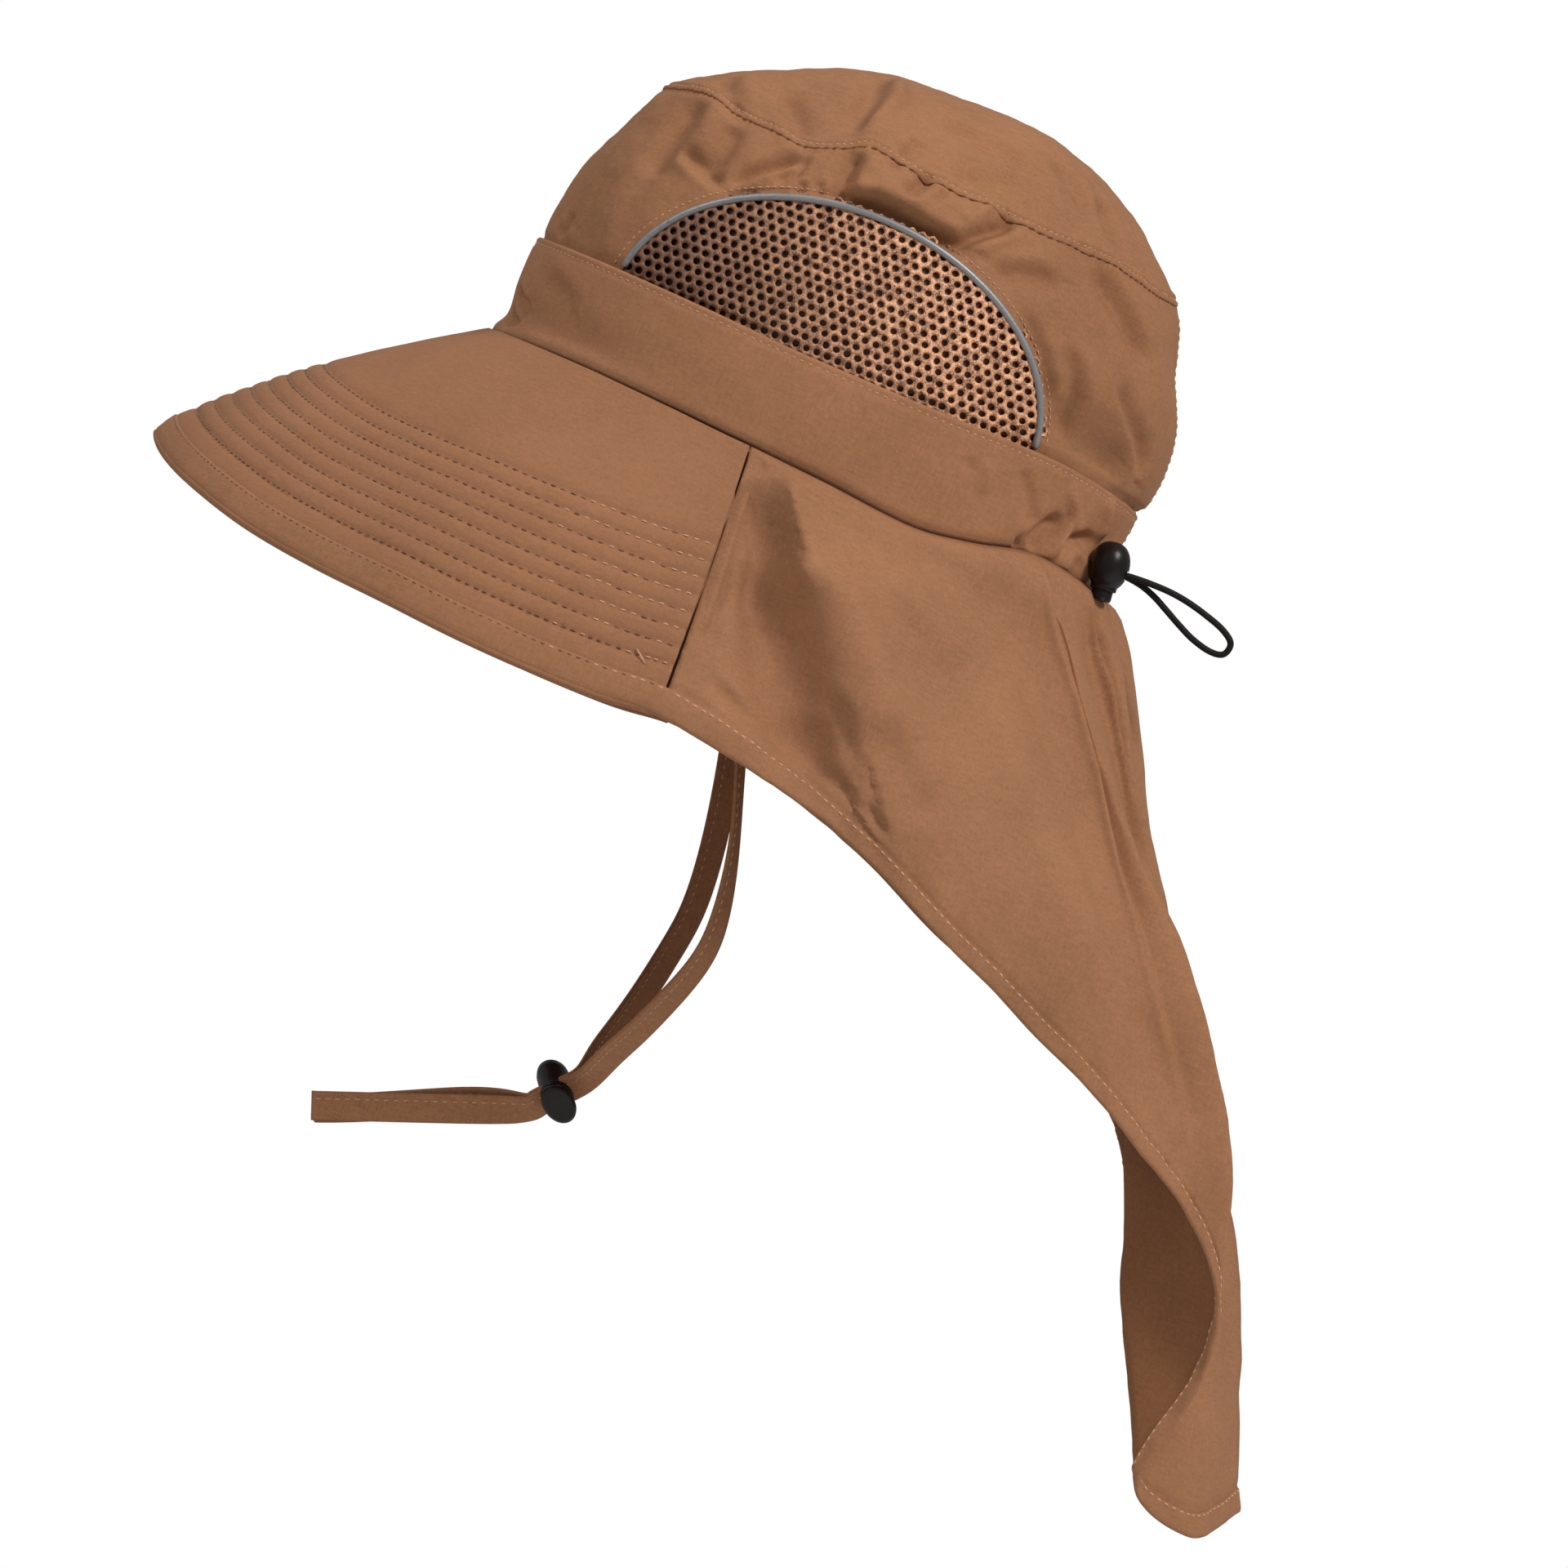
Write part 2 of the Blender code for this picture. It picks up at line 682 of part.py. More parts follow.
def lock_frame(origin, axis, through):
    """A frame with Z along the lock's axis and -Y the way that its strap or cord runs."""
    up = axis.normalized()
    along = (through - through.dot(up) * up).normalized()
    return Matrix.Translation(origin) @ Matrix((up.cross(along), -along, up)).transposed().to_4x4()


def slot_turn(frame):
    """The turn of the strap's face that lines it up with the lock's slot."""
    across, along = frame.col[0].xyz, -frame.col[1].xyz
    flat = Vector((1, 0, 0)).cross(along).normalized()
    turn = math.degrees(math.atan2(across.dot(along.cross(flat)), across.dot(flat)))
    return (turn + 90.0) % 180.0 - 90.0


def chin_lock_matrix():
    slot = Vector((0.0, -STRAP_FORWARD, -STRAP_DROP))
    return lock_frame(slot, CHIN_LOCK_AXIS, CHIN_LOCK_THROUGH)


def smooth_path(rows, steps):
    """Points and turns read from a smooth curve through the rows, evenly by row number."""
    flat = [(index, *spot, turn) for index, (spot, turn) in enumerate(rows)]
    result = []
    for step in range(steps + 1):
        at = (len(rows) - 1) * step / steps
        values = [table_value(flat, at, column) for column in (1, 2, 3, 4)]
        result.append((Vector(values[:3]), values[3]))
    return result


def strap_path():
    """Places and face turns along the two arms, from the band to the slot, and along the tail from the slot."""
    frame = chin_lock_matrix()
    slot, through = frame.translation.copy(), -frame.col[1].xyz
    turn = slot_turn(frame)
    entry = [(slot - step * CHIN_LOCK_DEPTH * through, turn) for step in (1.1, 0.55, 0.0)]
    exit_ = [(slot + step * CHIN_LOCK_DEPTH * through, turn) for step in (0.0, 0.55, 1.0)]
    tail = [
        (slot + Vector((0, -STRAP_TAIL * share, -STRAP_WIDTH * sink)), tail_turn)
        for share, sink, tail_turn in TAIL
    ]
    left = smooth_path(arm_points(LEFT_ARM, 1) + entry, 24)
    right = smooth_path(arm_points(RIGHT_ARM, -1) + entry, 24)
    return left, right, smooth_path(exit_ + tail, 10)


def strap_stations():
    """Where the strap's middle line runs and which way its width lies, in order along it."""
    left, right, out = strap_path()
    layer = (STRAP_WALL + GAP) / 2
    stations = []

    def walk(path, offset_start, offset_end):
        count = len(path) - 1
        walked = []
        for index, (spot, turn) in enumerate(path):
            along = (path[min(index + 1, count)][0] - path[max(index - 1, 0)][0]).normalized()
            flat = Vector((1, 0, 0)).cross(along).normalized()
            angle = math.radians(turn)
            width = math.cos(angle) * flat + math.sin(angle) * along.cross(flat)
            offset = offset_start + (offset_end - offset_start) * ease(index / count * 2 - 1)
            walked.append((spot + offset * along.cross(width), width, along))
        return walked

    stations += walk(left, 0.0, layer)
    stations += walk(out, layer, layer)[1:]
    end, width, along = stations[-1]
    normal = along.cross(width)
    for turn in (45, 90, 135):
        angle = math.radians(turn)
        spot = end - layer * normal + layer * (math.cos(angle) * normal + math.sin(angle) * along)
        stations.append((spot, width, along))
    stations += reversed(walk(out, -layer, -layer))
    stations += reversed(walk(right, 0.0, -layer)[:-1])
    return stations


def make_strap(parts, cloth):
    stations = strap_stations()

    def place(across, up):
        spot, width, _ = stations[round(across * (len(stations) - 1))]
        return spot + (up - 0.5) * STRAP_WIDTH * width

    mesh = grid_mesh("chin_strap", len(stations) - 1, 1, place)
    strap = new_object("chin_strap", mesh, parts, cloth)
    add_wall(strap, STRAP_WALL, offset=0.0)


def turned_mesh(name, profile, segments, width, depth):
    """A closed turned shape from (radius share, height) rows, oval if width and depth differ."""
    bm = bmesh.new()
    spots = [bm.verts.new((radius / 2, 0.0, height)) for radius, height in profile]
    edges = [bm.edges.new(pair) for pair in zip(spots, spots[1:])]
    bmesh.ops.spin(
        bm, geom=spots + edges, cent=(0, 0, 0), axis=(0, 0, 1), angle=math.tau, steps=segments, use_merge=True
    )
    bmesh.ops.remove_doubles(bm, verts=bm.verts, dist=1e-6)
    bmesh.ops.scale(bm, vec=(width, depth, 1.0), verts=bm.verts)
    bmesh.ops.recalc_face_normals(bm, faces=bm.faces)
    mesh = bpy.data.meshes.new(name)
    bm.to_mesh(mesh)
    bm.free()
    mesh.shade_smooth()
    mesh.set_sharp_from_angle(angle=math.radians(40))
    return mesh


def box_cutter(name, size, centre, tools, parent):
    bm = bmesh.new()
    bmesh.ops.create_cube(bm, size=1.0)
    bmesh.ops.scale(bm, vec=size, verts=bm.verts)
    bmesh.ops.translate(bm, vec=centre, verts=bm.verts)
    mesh = bpy.data.meshes.new(name)
    bm.to_mesh(mesh)
    bm.free()
    return as_cutter(new_object(name, mesh, tools, None, parent))


def make_lock(name, matrix, sizes, parts, tools, material):
    """A cord lock: a domed body with a bore and a slot, and a push button whose stem has the slot too."""
    empty = new_empty(name + "_frame", parts, matrix)
    width, depth = sizes["width"], sizes["depth"]
    slot_width, half_slot = sizes["slot_width"], sizes["slot_height"] / 2
    rim = -sizes["slot_to_rim"]
    top = rim + sizes["length"]
    dome = sizes["dome"]
    body_profile = (
        (0.0, rim),
        (sizes["rim_share"], rim),
        (sizes["rim_share"] * 0.4 + 0.6, rim + (top - dome - rim) * 0.35),
        (1.0, top - dome),
        (0.93, top - dome * 0.55),
        (0.74, top - dome * 0.22),
        (0.42, top - dome * 0.04),
        (0.0, top),
    )
    mesh = turned_mesh(name + "_body", body_profile, 20, width, depth)
    body = new_object(name + "_body", mesh, parts, material, empty)

    bore_width = slot_width + 2 * (LOCK_WALL + LOCK_PLAY)
    bore_depth = min(depth - 2 * (LOCK_WALL + LOCK_PLAY), bore_width)
    stem_top = half_slot + LOCK_WALL
    bore_top = stem_top + PRESS_TRAVEL + LOCK_PLAY
    bore_profile = ((0.0, rim - LOCK_WALL), (1.0, rim - LOCK_WALL), (1.0, bore_top), (0.0, bore_top))
    bore_mesh = turned_mesh(name + "_bore", bore_profile, 20, bore_width, bore_depth)
    add_cut(body, as_cutter(new_object(name + "_bore", bore_mesh, tools, None, empty)))
    slot = box_cutter(name + "_slot", (slot_width, 2 * depth, 2 * half_slot), (0, 0, 0), tools, empty)
    add_cut(body, slot)

    stem_width, stem_depth = bore_width - 2 * LOCK_PLAY, bore_depth - 2 * LOCK_PLAY
    shoulder = rim - PRESS_TRAVEL - LOCK_PLAY
    end = shoulder - sizes["head_wall"]
    head = sizes["head_width"] / stem_width
    button_profile = (
        (0.0, end),
        (0.82 * head, end),
        (0.96 * head, end + 0.3 * (shoulder - end)),
        (head, end + 0.6 * (shoulder - end)),
        (0.97 * head, shoulder),
        (1.0, shoulder),
        (1.0, stem_top),
        (0.0, stem_top),
    )
    mesh = turned_mesh(name + "_button", button_profile, 20, stem_width, stem_depth)
    button = new_object(name + "_button", mesh, parts, material, empty)
    low = -half_slot - PRESS_TRAVEL
    passage = box_cutter(
        name + "_passage",
        (slot_width, 2 * depth, half_slot - low),
        (0, 0, (half_slot + low) / 2),
        tools,
        empty,
    )
    add_cut(button, passage)


def back_lock_matrix():
    """The ball lock lies against the band, low at its back left, with its button downward."""
    tilt = Matrix.Rotation(-WORN_TILT, 4, "X")
    surface, near, far = (band_point(BACK_LOCK_ANGLE + step, BACK_LOCK_HEIGHT) for step in (0, -1, 1))
    outward = Vector((far.y - near.y, near.x - far.x, 0.0)).normalized()
    centre = tilt @ (surface + outward * (BACK_LOCK_DIAMETER / 2 + BACK_LOCK_REST))
    return lock_frame(centre, BACK_LOCK_AXIS, BACK_LOCK_THROUGH)


def make_cord(parts, material):
    centre = back_lock_matrix().translation
    rows = [(centre + Vector(step), 0.0) for step in CORD_ROUTE]
    points = [spot for spot, _ in smooth_path(rows, 40)]
    curve = bpy.data.curves.new("drawcord", "CURVE")
    curve.dimensions = "3D"
    curve.bevel_depth = CORD_DIAMETER / 2
    curve.bevel_resolution = 2
    curve.use_fill_caps = True
    spline = curve.splines.new("POLY")
    spline.points.add(len(points) - 1)
    for spot, point in zip(spline.points, points):
        spot.co = (*point, 1.0)
    curve.materials.append(material)
    cord = bpy.data.objects.new("drawcord", curve)
    parts.objects.link(cord)


def main():
    clear_scene()
    parts = new_collection("outdoor_hat")
    tools = new_collection("cutters")

    crown_cloth = new_material("crown_cloth", (0.32, 0.16, 0.085), 0.85)
    band_cloth = new_material("band_cloth", (0.31, 0.155, 0.080), 0.85)
    visor_cloth = new_material("visor_cloth", (0.29, 0.145, 0.072), 0.82)
    flap_cloth = new_material("flap_cloth", (0.36, 0.19, 0.105), 0.88)
    strap_cloth = new_material("strap_cloth", (0.22, 0.105, 0.055), 0.80)
    spacer_mesh = new_material("spacer_mesh", (0.17, 0.085, 0.050), 0.60)
    reflective = new_material("reflective_piping", (0.22, 0.22, 0.235), 0.45)
    lock_plastic = new_material("lock_plastic", (0.018, 0.015, 0.015), 0.35)
    elastic = new_material("elastic_cord", (0.012, 0.010, 0.010), 0.65)

    hat = new_empty("hat", parts, Matrix.Rotation(-WORN_TILT, 4, "X"))
    make_band(hat, parts, band_cloth)
    make_crown_side(hat, parts, tools, crown_cloth)
    make_crown_top(hat, parts, crown_cloth)
    for side in (1, -1):
        make_vent_mesh(side, hat, parts, spacer_mesh)
        make_piping(side, hat, parts, reflective)
    make_visor(hat, parts, visor_cloth)
    make_flap(hat, parts, flap_cloth)
    make_strap(parts, strap_cloth)
    chin_sizes = {
        "width": CHIN_LOCK_WIDTH,
        "depth": CHIN_LOCK_DEPTH,
        "length": CHIN_LOCK_LENGTH,
        "dome": CHIN_LOCK_DEPTH * 0.5,
        "rim_share": 0.97,
        "slot_width": STRAP_WIDTH + 2 * CHIN_SLOT_SIDE,
        "slot_height": CHIN_SLOT_HEIGHT,
        "slot_to_rim": CHIN_SLOT_TO_RIM,
        "head_width": CHIN_HEAD_WIDTH,
        "head_wall": CHIN_HEAD_WALL,
    }
    back_sizes = {
        "width": BACK_LOCK_DIAMETER,
        "depth": BACK_LOCK_DIAMETER,
        "length": BACK_LOCK_LENGTH,
        "dome": BACK_LOCK_LENGTH * 0.5,
        "rim_share": 0.70,
        "slot_width": 2 * CORD_DIAMETER + 3 * GAP,
        "slot_height": BACK_SLOT_HEIGHT,
        "slot_to_rim": BACK_SLOT_TO_RIM,
        "head_width": BACK_BUTTON_DIAMETER,
        "head_wall": BACK_BUTTON_END,
    }
    make_lock("chin_lock", chin_lock_matrix(), chin_sizes, parts, tools, lock_plastic)
    make_lock("back_lock", back_lock_matrix(), back_sizes, parts, tools, lock_plastic)
    make_cord(parts, elastic)


main()
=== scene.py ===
import math
import random

import bmesh
import bpy
import numpy as np
from mathutils import Matrix, Vector, noise


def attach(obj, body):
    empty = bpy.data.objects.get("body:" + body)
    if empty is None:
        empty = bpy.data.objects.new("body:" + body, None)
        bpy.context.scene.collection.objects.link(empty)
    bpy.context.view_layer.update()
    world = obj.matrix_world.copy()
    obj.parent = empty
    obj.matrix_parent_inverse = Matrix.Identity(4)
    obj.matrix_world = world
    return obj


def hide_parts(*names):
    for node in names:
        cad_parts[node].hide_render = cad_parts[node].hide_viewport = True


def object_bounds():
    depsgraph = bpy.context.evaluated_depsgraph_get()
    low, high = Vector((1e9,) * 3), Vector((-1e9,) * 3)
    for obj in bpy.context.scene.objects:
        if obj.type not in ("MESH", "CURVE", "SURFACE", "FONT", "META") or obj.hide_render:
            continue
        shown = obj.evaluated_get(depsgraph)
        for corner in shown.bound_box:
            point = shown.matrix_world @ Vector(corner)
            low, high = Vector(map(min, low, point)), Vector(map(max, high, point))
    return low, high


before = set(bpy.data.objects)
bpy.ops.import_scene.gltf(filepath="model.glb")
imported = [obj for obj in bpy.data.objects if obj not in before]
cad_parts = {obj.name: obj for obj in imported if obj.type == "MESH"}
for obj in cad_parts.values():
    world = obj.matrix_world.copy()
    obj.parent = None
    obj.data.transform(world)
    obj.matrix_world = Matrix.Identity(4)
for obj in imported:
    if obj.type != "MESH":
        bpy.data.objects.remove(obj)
cadLow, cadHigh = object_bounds()
dice = random.Random(7)

worn = {"tilt": math.radians(23.0), "front": 0.0980, "back": 0.1040, "halfWidth": 0.0850}
bandLook = {
    "height": 0.0315, "wall": 0.0015, "tuck": 0.0080, "stitchDrop": 0.0021, "waves": ((0.0006, 38.0, 9.0),),
    "gathers": {"start": 132.0, "fade": 16.0, "height": 0.0008, "turns": 40.0},
    "creases": {"stitch": (0.00040, 0.025), "lower": (0.0011, 0.045), "upper": (0.0006, 0.018)},  # depth, width
    "edges": (  # degrees from the front, lower and upper edge as shares of the height
        (0, 0.000, 1.000), (45, -0.054, 0.911), (67, -0.121, 0.860), (84, -0.168, 0.815),
        (97, -0.206, 0.810), (114, -0.262, 0.825), (125, -0.170, 0.845), (138, -0.020, 0.857),
        (160, -0.070, 0.800), (180, -0.080, 0.772)),
    "sections": (  # share of the height, reach to the front, side and back
        (0.00, 1.022, 1.000, 1.015), (0.20, 0.985, 1.000, 0.995),
        (0.55, 0.998, 1.000, 0.995), (1.00, 0.993, 0.998, 1.012)),
}
crownLook = {
    "seamHeight": 0.0910, "wall": 0.0009, "domeRise": 0.0300, "domeShift": 0.0150, "tuckGap": 0.0005,
    "waves": ((0.0011, 34.0, 0.0), (0.00030, 150.0, 5.0)),
    "puckers": {"side": (2.9, 0.07), "top": (1050.0, 0.15)}, "foldScales": (1.7, 0.9), "foldShift": 4.0,
    "sections": (  # share of the way up, reach to the front, side and back
        (0.00, 0.976, 0.981, 0.996), (0.07, 0.978, 0.988, 1.018), (0.24, 0.968, 0.990, 1.032),
        (0.45, 0.942, 0.968, 1.012), (0.69, 0.882, 0.930, 0.945), (0.89, 0.834, 0.876, 0.890),
        (1.00, 0.784, 0.815, 0.842)),
    "wander": (  # degrees from the front, how far the top seam strays up, in millimetres
        (0, 0.0), (26, 0.6), (37, 1.2), (44, 0.0), (50, -2.5), (58, -3.2), (68, -4.0), (75, -1.0), (80, 2.5),
        (87, 2.0), (94, 0.4), (110, -0.4), (135, 0.6), (160, -0.6), (180, 0.0), (215, 0.8), (240, -1.2), (262, 1.6),
        (284, -2.4), (300, 1.0), (322, -1.2), (340, 0.6), (360, 0.0)),
    "dome": (  # share of the way in, share of the rise
        (0.00, 0.00), (0.06, 0.14), (0.15, 0.32), (0.30, 0.57), (0.50, 0.80), (0.72, 0.94), (1.00, 1.00)),
}
ventLook = {
    "halfLength": 0.0670, "topMargin": 0.0195, "foot": 0.0040, "piping": 0.0022,
    "pitch": 0.00335, "hole": 0.00205, "sink": 0.0006,
    "yarn": ((0.72, 0.00008), (0.60, 0.00028), (0.50, 0.00075), (0.47, 0.00150)),  # radius in holes, depth
}
visorLook = {
    "length": 0.1065, "curl": math.radians(16.0), "wall": 0.0028, "seamAngle": 84.0, "seamLean": math.radians(15.0),
    "rows": 8, "firstRow": 0.0138, "rowPitch": 0.00585, "hemRow": 0.0068,
    "seamGap": 0.17, "topShare": 0.48,  # degrees short of the side seam, share of the trip round that is the top
    "waves": ((0.0005, 26.0, 12.0), (0.00010, 120.0, 8.0)),
    "puff": 0.00055, "round": 0.55, "fades": (0.0016, 0.0022), "groove": 0.0009, "dip": 0.00010, "pinch": 0.00022,
    "sections": (  # share of the way to the side seam, length, degrees of fall
        (0.00, 1.000, 38.8), (0.12, 0.995, 43.0), (0.24, 0.990, 47.0), (0.36, 0.980, 51.5), (0.48, 0.963, 55.0),
        (0.60, 0.940, 58.0), (0.71, 0.914, 61.5), (0.83, 0.888, 64.0), (1.00, 0.850, 66.5)),
}
flapLook = {
    "drop": 0.2790, "wall": 0.0008, "blend": 0.17, "hem": 0.0078,
    "waves": ((0.0013, 22.0, 7.0), (0.0003, 110.0, 1.0)),
    "edge": (  # share of the way to the centre back: out, back on the near and the far side, down
        (0.00, 0.130, 0.000, 0.000, 0.330), (0.17, 0.104, 0.027, 0.027, 0.387), (0.35, 0.100, 0.033, 0.033, 0.456),
        (0.52, 0.111, 0.049, 0.062, 0.545), (0.66, 0.122, 0.071, 0.078, 0.611), (0.76, 0.125, 0.111, 0.070, 0.683),
        (0.82, 0.129, 0.121, 0.060, 0.760), (0.87, 0.104, 0.080, 0.058, 0.858), (0.91, 0.096, 0.020, 0.056, 0.963),
        (0.95, 0.088, 0.088, 0.095, 1.017), (1.00, 0.000, 0.147, 0.147, 1.000)),
    "drape": (  # share of the way down, share of the hem's offset
        (0.00, 0.00), (0.02, 0.12), (0.12, 0.25), (0.24, 0.36), (0.37, 0.52), (0.52, 0.74), (0.62, 0.88),
        (0.75, 1.00), (0.88, 1.03), (1.00, 1.00)),
    "folds": (  # side, place at the band, place at the hem, depth, width, start, end
        (1, 0.03, 0.12, -0.018, 0.050, 0.00, 0.95), (1, 0.26, 0.34, 0.010, 0.120, 0.10, 1.00),
        (1, 0.45, 0.74, -0.012, 0.060, 0.00, 0.90), (1, 0.56, 0.88, 0.019, 0.055, 0.00, 1.00),
        (1, 0.70, 0.93, -0.010, 0.045, 0.00, 0.75), (1, 0.84, 0.97, 0.008, 0.040, 0.00, 0.70),
        (-1, 0.05, 0.14, -0.016, 0.055, 0.00, 0.95), (-1, 0.34, 0.40, 0.012, 0.110, 0.10, 1.00),
        (-1, 0.52, 0.72, -0.014, 0.060, 0.00, 0.90), (-1, 0.62, 0.78, 0.012, 0.055, 0.00, 0.85),
        (-1, 0.84, 0.95, -0.010, 0.050, 0.00, 0.80)),
}
clearance = 0.0003


def readCurve(rows, at, column=1):
    # a smooth curve through a few chosen stations
    keys = np.array([row[0] for row in rows], float)
    values = np.array([row[column] for row in rows], float)
    slopes = np.empty(len(keys))
    slopes[1:-1] = (values[2:] - values[:-2]) / (keys[2:] - keys[:-2])
    slopes[0] = (values[1] - values[0]) / (keys[1] - keys[0])
    slopes[-1] = (values[-1] - values[-2]) / (keys[-1] - keys[-2])
    at = np.clip(at, keys[0], keys[-1])
    i = np.clip(np.searchsorted(keys, at, side="right") - 1, 0, len(keys) - 2)
    span = keys[i + 1] - keys[i]
    t = (at - keys[i]) / span
    rise = values[i + 1] - values[i]
    bend = span * slopes[i] * t * (1 - t) ** 2 - span * slopes[i + 1] * t * t * (1 - t)
    return values[i] + rise * t * t * (3 - 2 * t) + bend


def ease(t):
    t = np.clip(t, 0.0, 1.0)
    return t * t * (3 - 2 * t)


def hill(t):
    return np.exp(-t * t)


def stack(x, y, z):
    return np.stack(np.broadcast_arrays(x, y, z), axis=-1)


def tripsAlong(line):
    # the way walked to each point of a line
    return np.concatenate(([0.0], np.cumsum(np.linalg.norm(np.diff(line, axis=0), axis=1))))


def unit(vectors):
    return vectors / np.maximum(np.linalg.norm(vectors, axis=-1, keepdims=True), 1e-12)


def toRoom(points):
    # from the hat's own level frame to the room, where it is worn tilted back
    cos, sin = math.cos(worn["tilt"]), math.sin(worn["tilt"])
    x, y, z = points[..., 0], points[..., 1], points[..., 2]
    return stack(x, y * cos + z * sin, z * cos - y * sin)


def fromFront(angle):
    return 180.0 - np.abs(180.0 - np.mod(angle, 360.0))


def bandLower(angle):
    return bandLook["height"] * readCurve(bandLook["edges"], fromFront(angle), 1)


def bandUpper(angle):
    return bandLook["height"] * readCurve(bandLook["edges"], fromFront(angle), 2)


def oval(angle, front, side, back):
    turn = np.radians(angle)
    reach = np.where(np.cos(turn) > 0, front, back)
    return side * np.sin(turn), -reach * np.cos(turn)


def bandPoint(angle, share, inset=0.0):
    reaches = [readCurve(bandLook["sections"], share, column) for column in (1, 2, 3)]
    x, y = oval(angle, reaches[0] * worn["front"] - inset, reaches[1] * worn["halfWidth"] - inset,
                reaches[2] * worn["back"] - inset)
    low, high = bandLower(angle), bandUpper(angle)
    return stack(x, y, low + share * (high - low))


def crownPoint(angle, share, inset=0.0):
    # 0 at the band's upper edge, 1 at the top seam, below 0 inside the band
    angle, share = np.broadcast_arrays(np.asarray(angle, float), np.asarray(share, float))
    low, high = bandLower(angle), bandUpper(angle)
    hidden = bandPoint(angle, 1.0 + np.minimum(share, 0) * bandLook["tuck"] / (high - low),
                       bandLook["wall"] + crownLook["tuckGap"] + inset)
    leave = ease(share / 0.05)
    reaches = []
    for column, size in enumerate((worn["front"], worn["halfWidth"], worn["back"]), start=1):
        tucked = readCurve(bandLook["sections"], 1.0, column) * size - bandLook["wall"] - crownLook["tuckGap"]
        free = readCurve(crownLook["sections"], share, column) * size
        reaches.append(tucked + leave * (free - tucked) - inset)
    x, y = oval(angle, *reaches)
    stray = seamStray(angle) * ease((share - 0.35) / 0.65)
    free = stack(x, y, high + share * (crownLook["seamHeight"] - high) + stray)
    return np.where((share < 0)[..., None], hidden, free)


def seamStray(angle):
    return 0.001 * readCurve(crownLook["wander"], np.mod(angle, 360.0))


def domePoint(angle, inward):
    edge = crownPoint(angle, np.ones_like(angle), 0.0004)
    middle = (crownPoint(0.0, 1.0) + crownPoint(180.0, 1.0)) / 2
    apex = middle + np.array((0.0, crownLook["domeShift"], 0.0))
    flat = edge + (apex - edge) * inward[..., None]
    height = crownLook["seamHeight"] + 0.0004 + crownLook["domeRise"] * readCurve(crownLook["dome"], inward)
    return stack(flat[..., 0], flat[..., 1], height + seamStray(angle) * (1 - ease(inward / 0.3)))


def visorPoint(angle, share, drop=0.0):
    # 0 under the band, 1 at the edge
    way = fromFront(angle) / visorLook["seamAngle"]
    length = visorLook["length"] * readCurve(visorLook["sections"], way, 1)
    fall = np.radians(readCurve(visorLook["sections"], way, 2))
    near, far = bandPoint(angle - 0.5, 0.0), bandPoint(angle + 0.5, 0.0)
    outward = unit(stack(far[..., 1] - near[..., 1], near[..., 0] - far[..., 0], 0.0))
    side = np.where(np.mod(angle, 360.0) < 180.0, 1.0, -1.0)
    lean = side * visorLook["seamLean"] * np.minimum(way, 1.3) ** 2
    cos, sin = np.cos(lean), np.sin(lean)
    outward = stack(outward[..., 0] * cos - outward[..., 1] * sin, outward[..., 0] * sin + outward[..., 1] * cos, 0.0)
    curl = visorLook["curl"]
    start = fall - curl / 2
    end = start + curl * share
    out = length * (np.sin(end) - np.sin(start)) / curl
    down = length * (np.cos(start) - np.cos(end)) / curl + clearance
    droop = 0.0016 * ease((share - 0.92) / 0.08) ** 1.5
    point = bandPoint(angle, 0.0) + (out - 0.5 * droop)[..., None] * outward
    return point - stack(0.0, 0.0, down + drop + droop)


def hanging(out, back, down):
    # a step given in the room, in the hat's tilted frame
    cos, sin = math.cos(worn["tilt"]), math.sin(worn["tilt"])
    return stack(out, back * cos + down * sin, back * sin - down * cos)


def flapPoint(angle, share):
    look = flapLook
    side = np.where(angle < 180.0, 1.0, -1.0)
    along = 1 - np.abs(180.0 - angle) / (180.0 - visorLook["seamAngle"])
    out = side * look["drop"] * readCurve(look["edge"], along, 1)
    back = look["drop"] * np.where(side > 0, readCurve(look["edge"], along, 2), readCurve(look["edge"], along, 3))
    down = look["drop"] * readCurve(look["edge"], along, 4)
    drape = readCurve(look["drape"], share)
    hung = bandPoint(angle, 0.0) - np.array((0, 0, clearance)) + hanging(out * drape, back * drape, down * share)
    start = visorPoint(angle, share)
    point = start + (hung - start) * ease(along / look["blend"])[..., None]
    fold = np.zeros_like(point[..., 0])
    for foldSide, atBand, atHem, depth, width, begin, finish in look["folds"]:
        across = (along - atBand - (atHem - atBand) * share) / width
        ends = ease((share - begin) / 0.12) * (1 - ease((share - finish) / 0.12))
        fold += np.where(side == foldSide, look["drop"] * depth * hill(across) * ends, 0.0)
    fold *= ease((along - 0.03) / 0.08) * ease((1 - along) / 0.06)
    turn = np.radians(angle)
    return point + fold[..., None] * hanging(np.sin(turn), -np.cos(turn), np.zeros_like(turn))


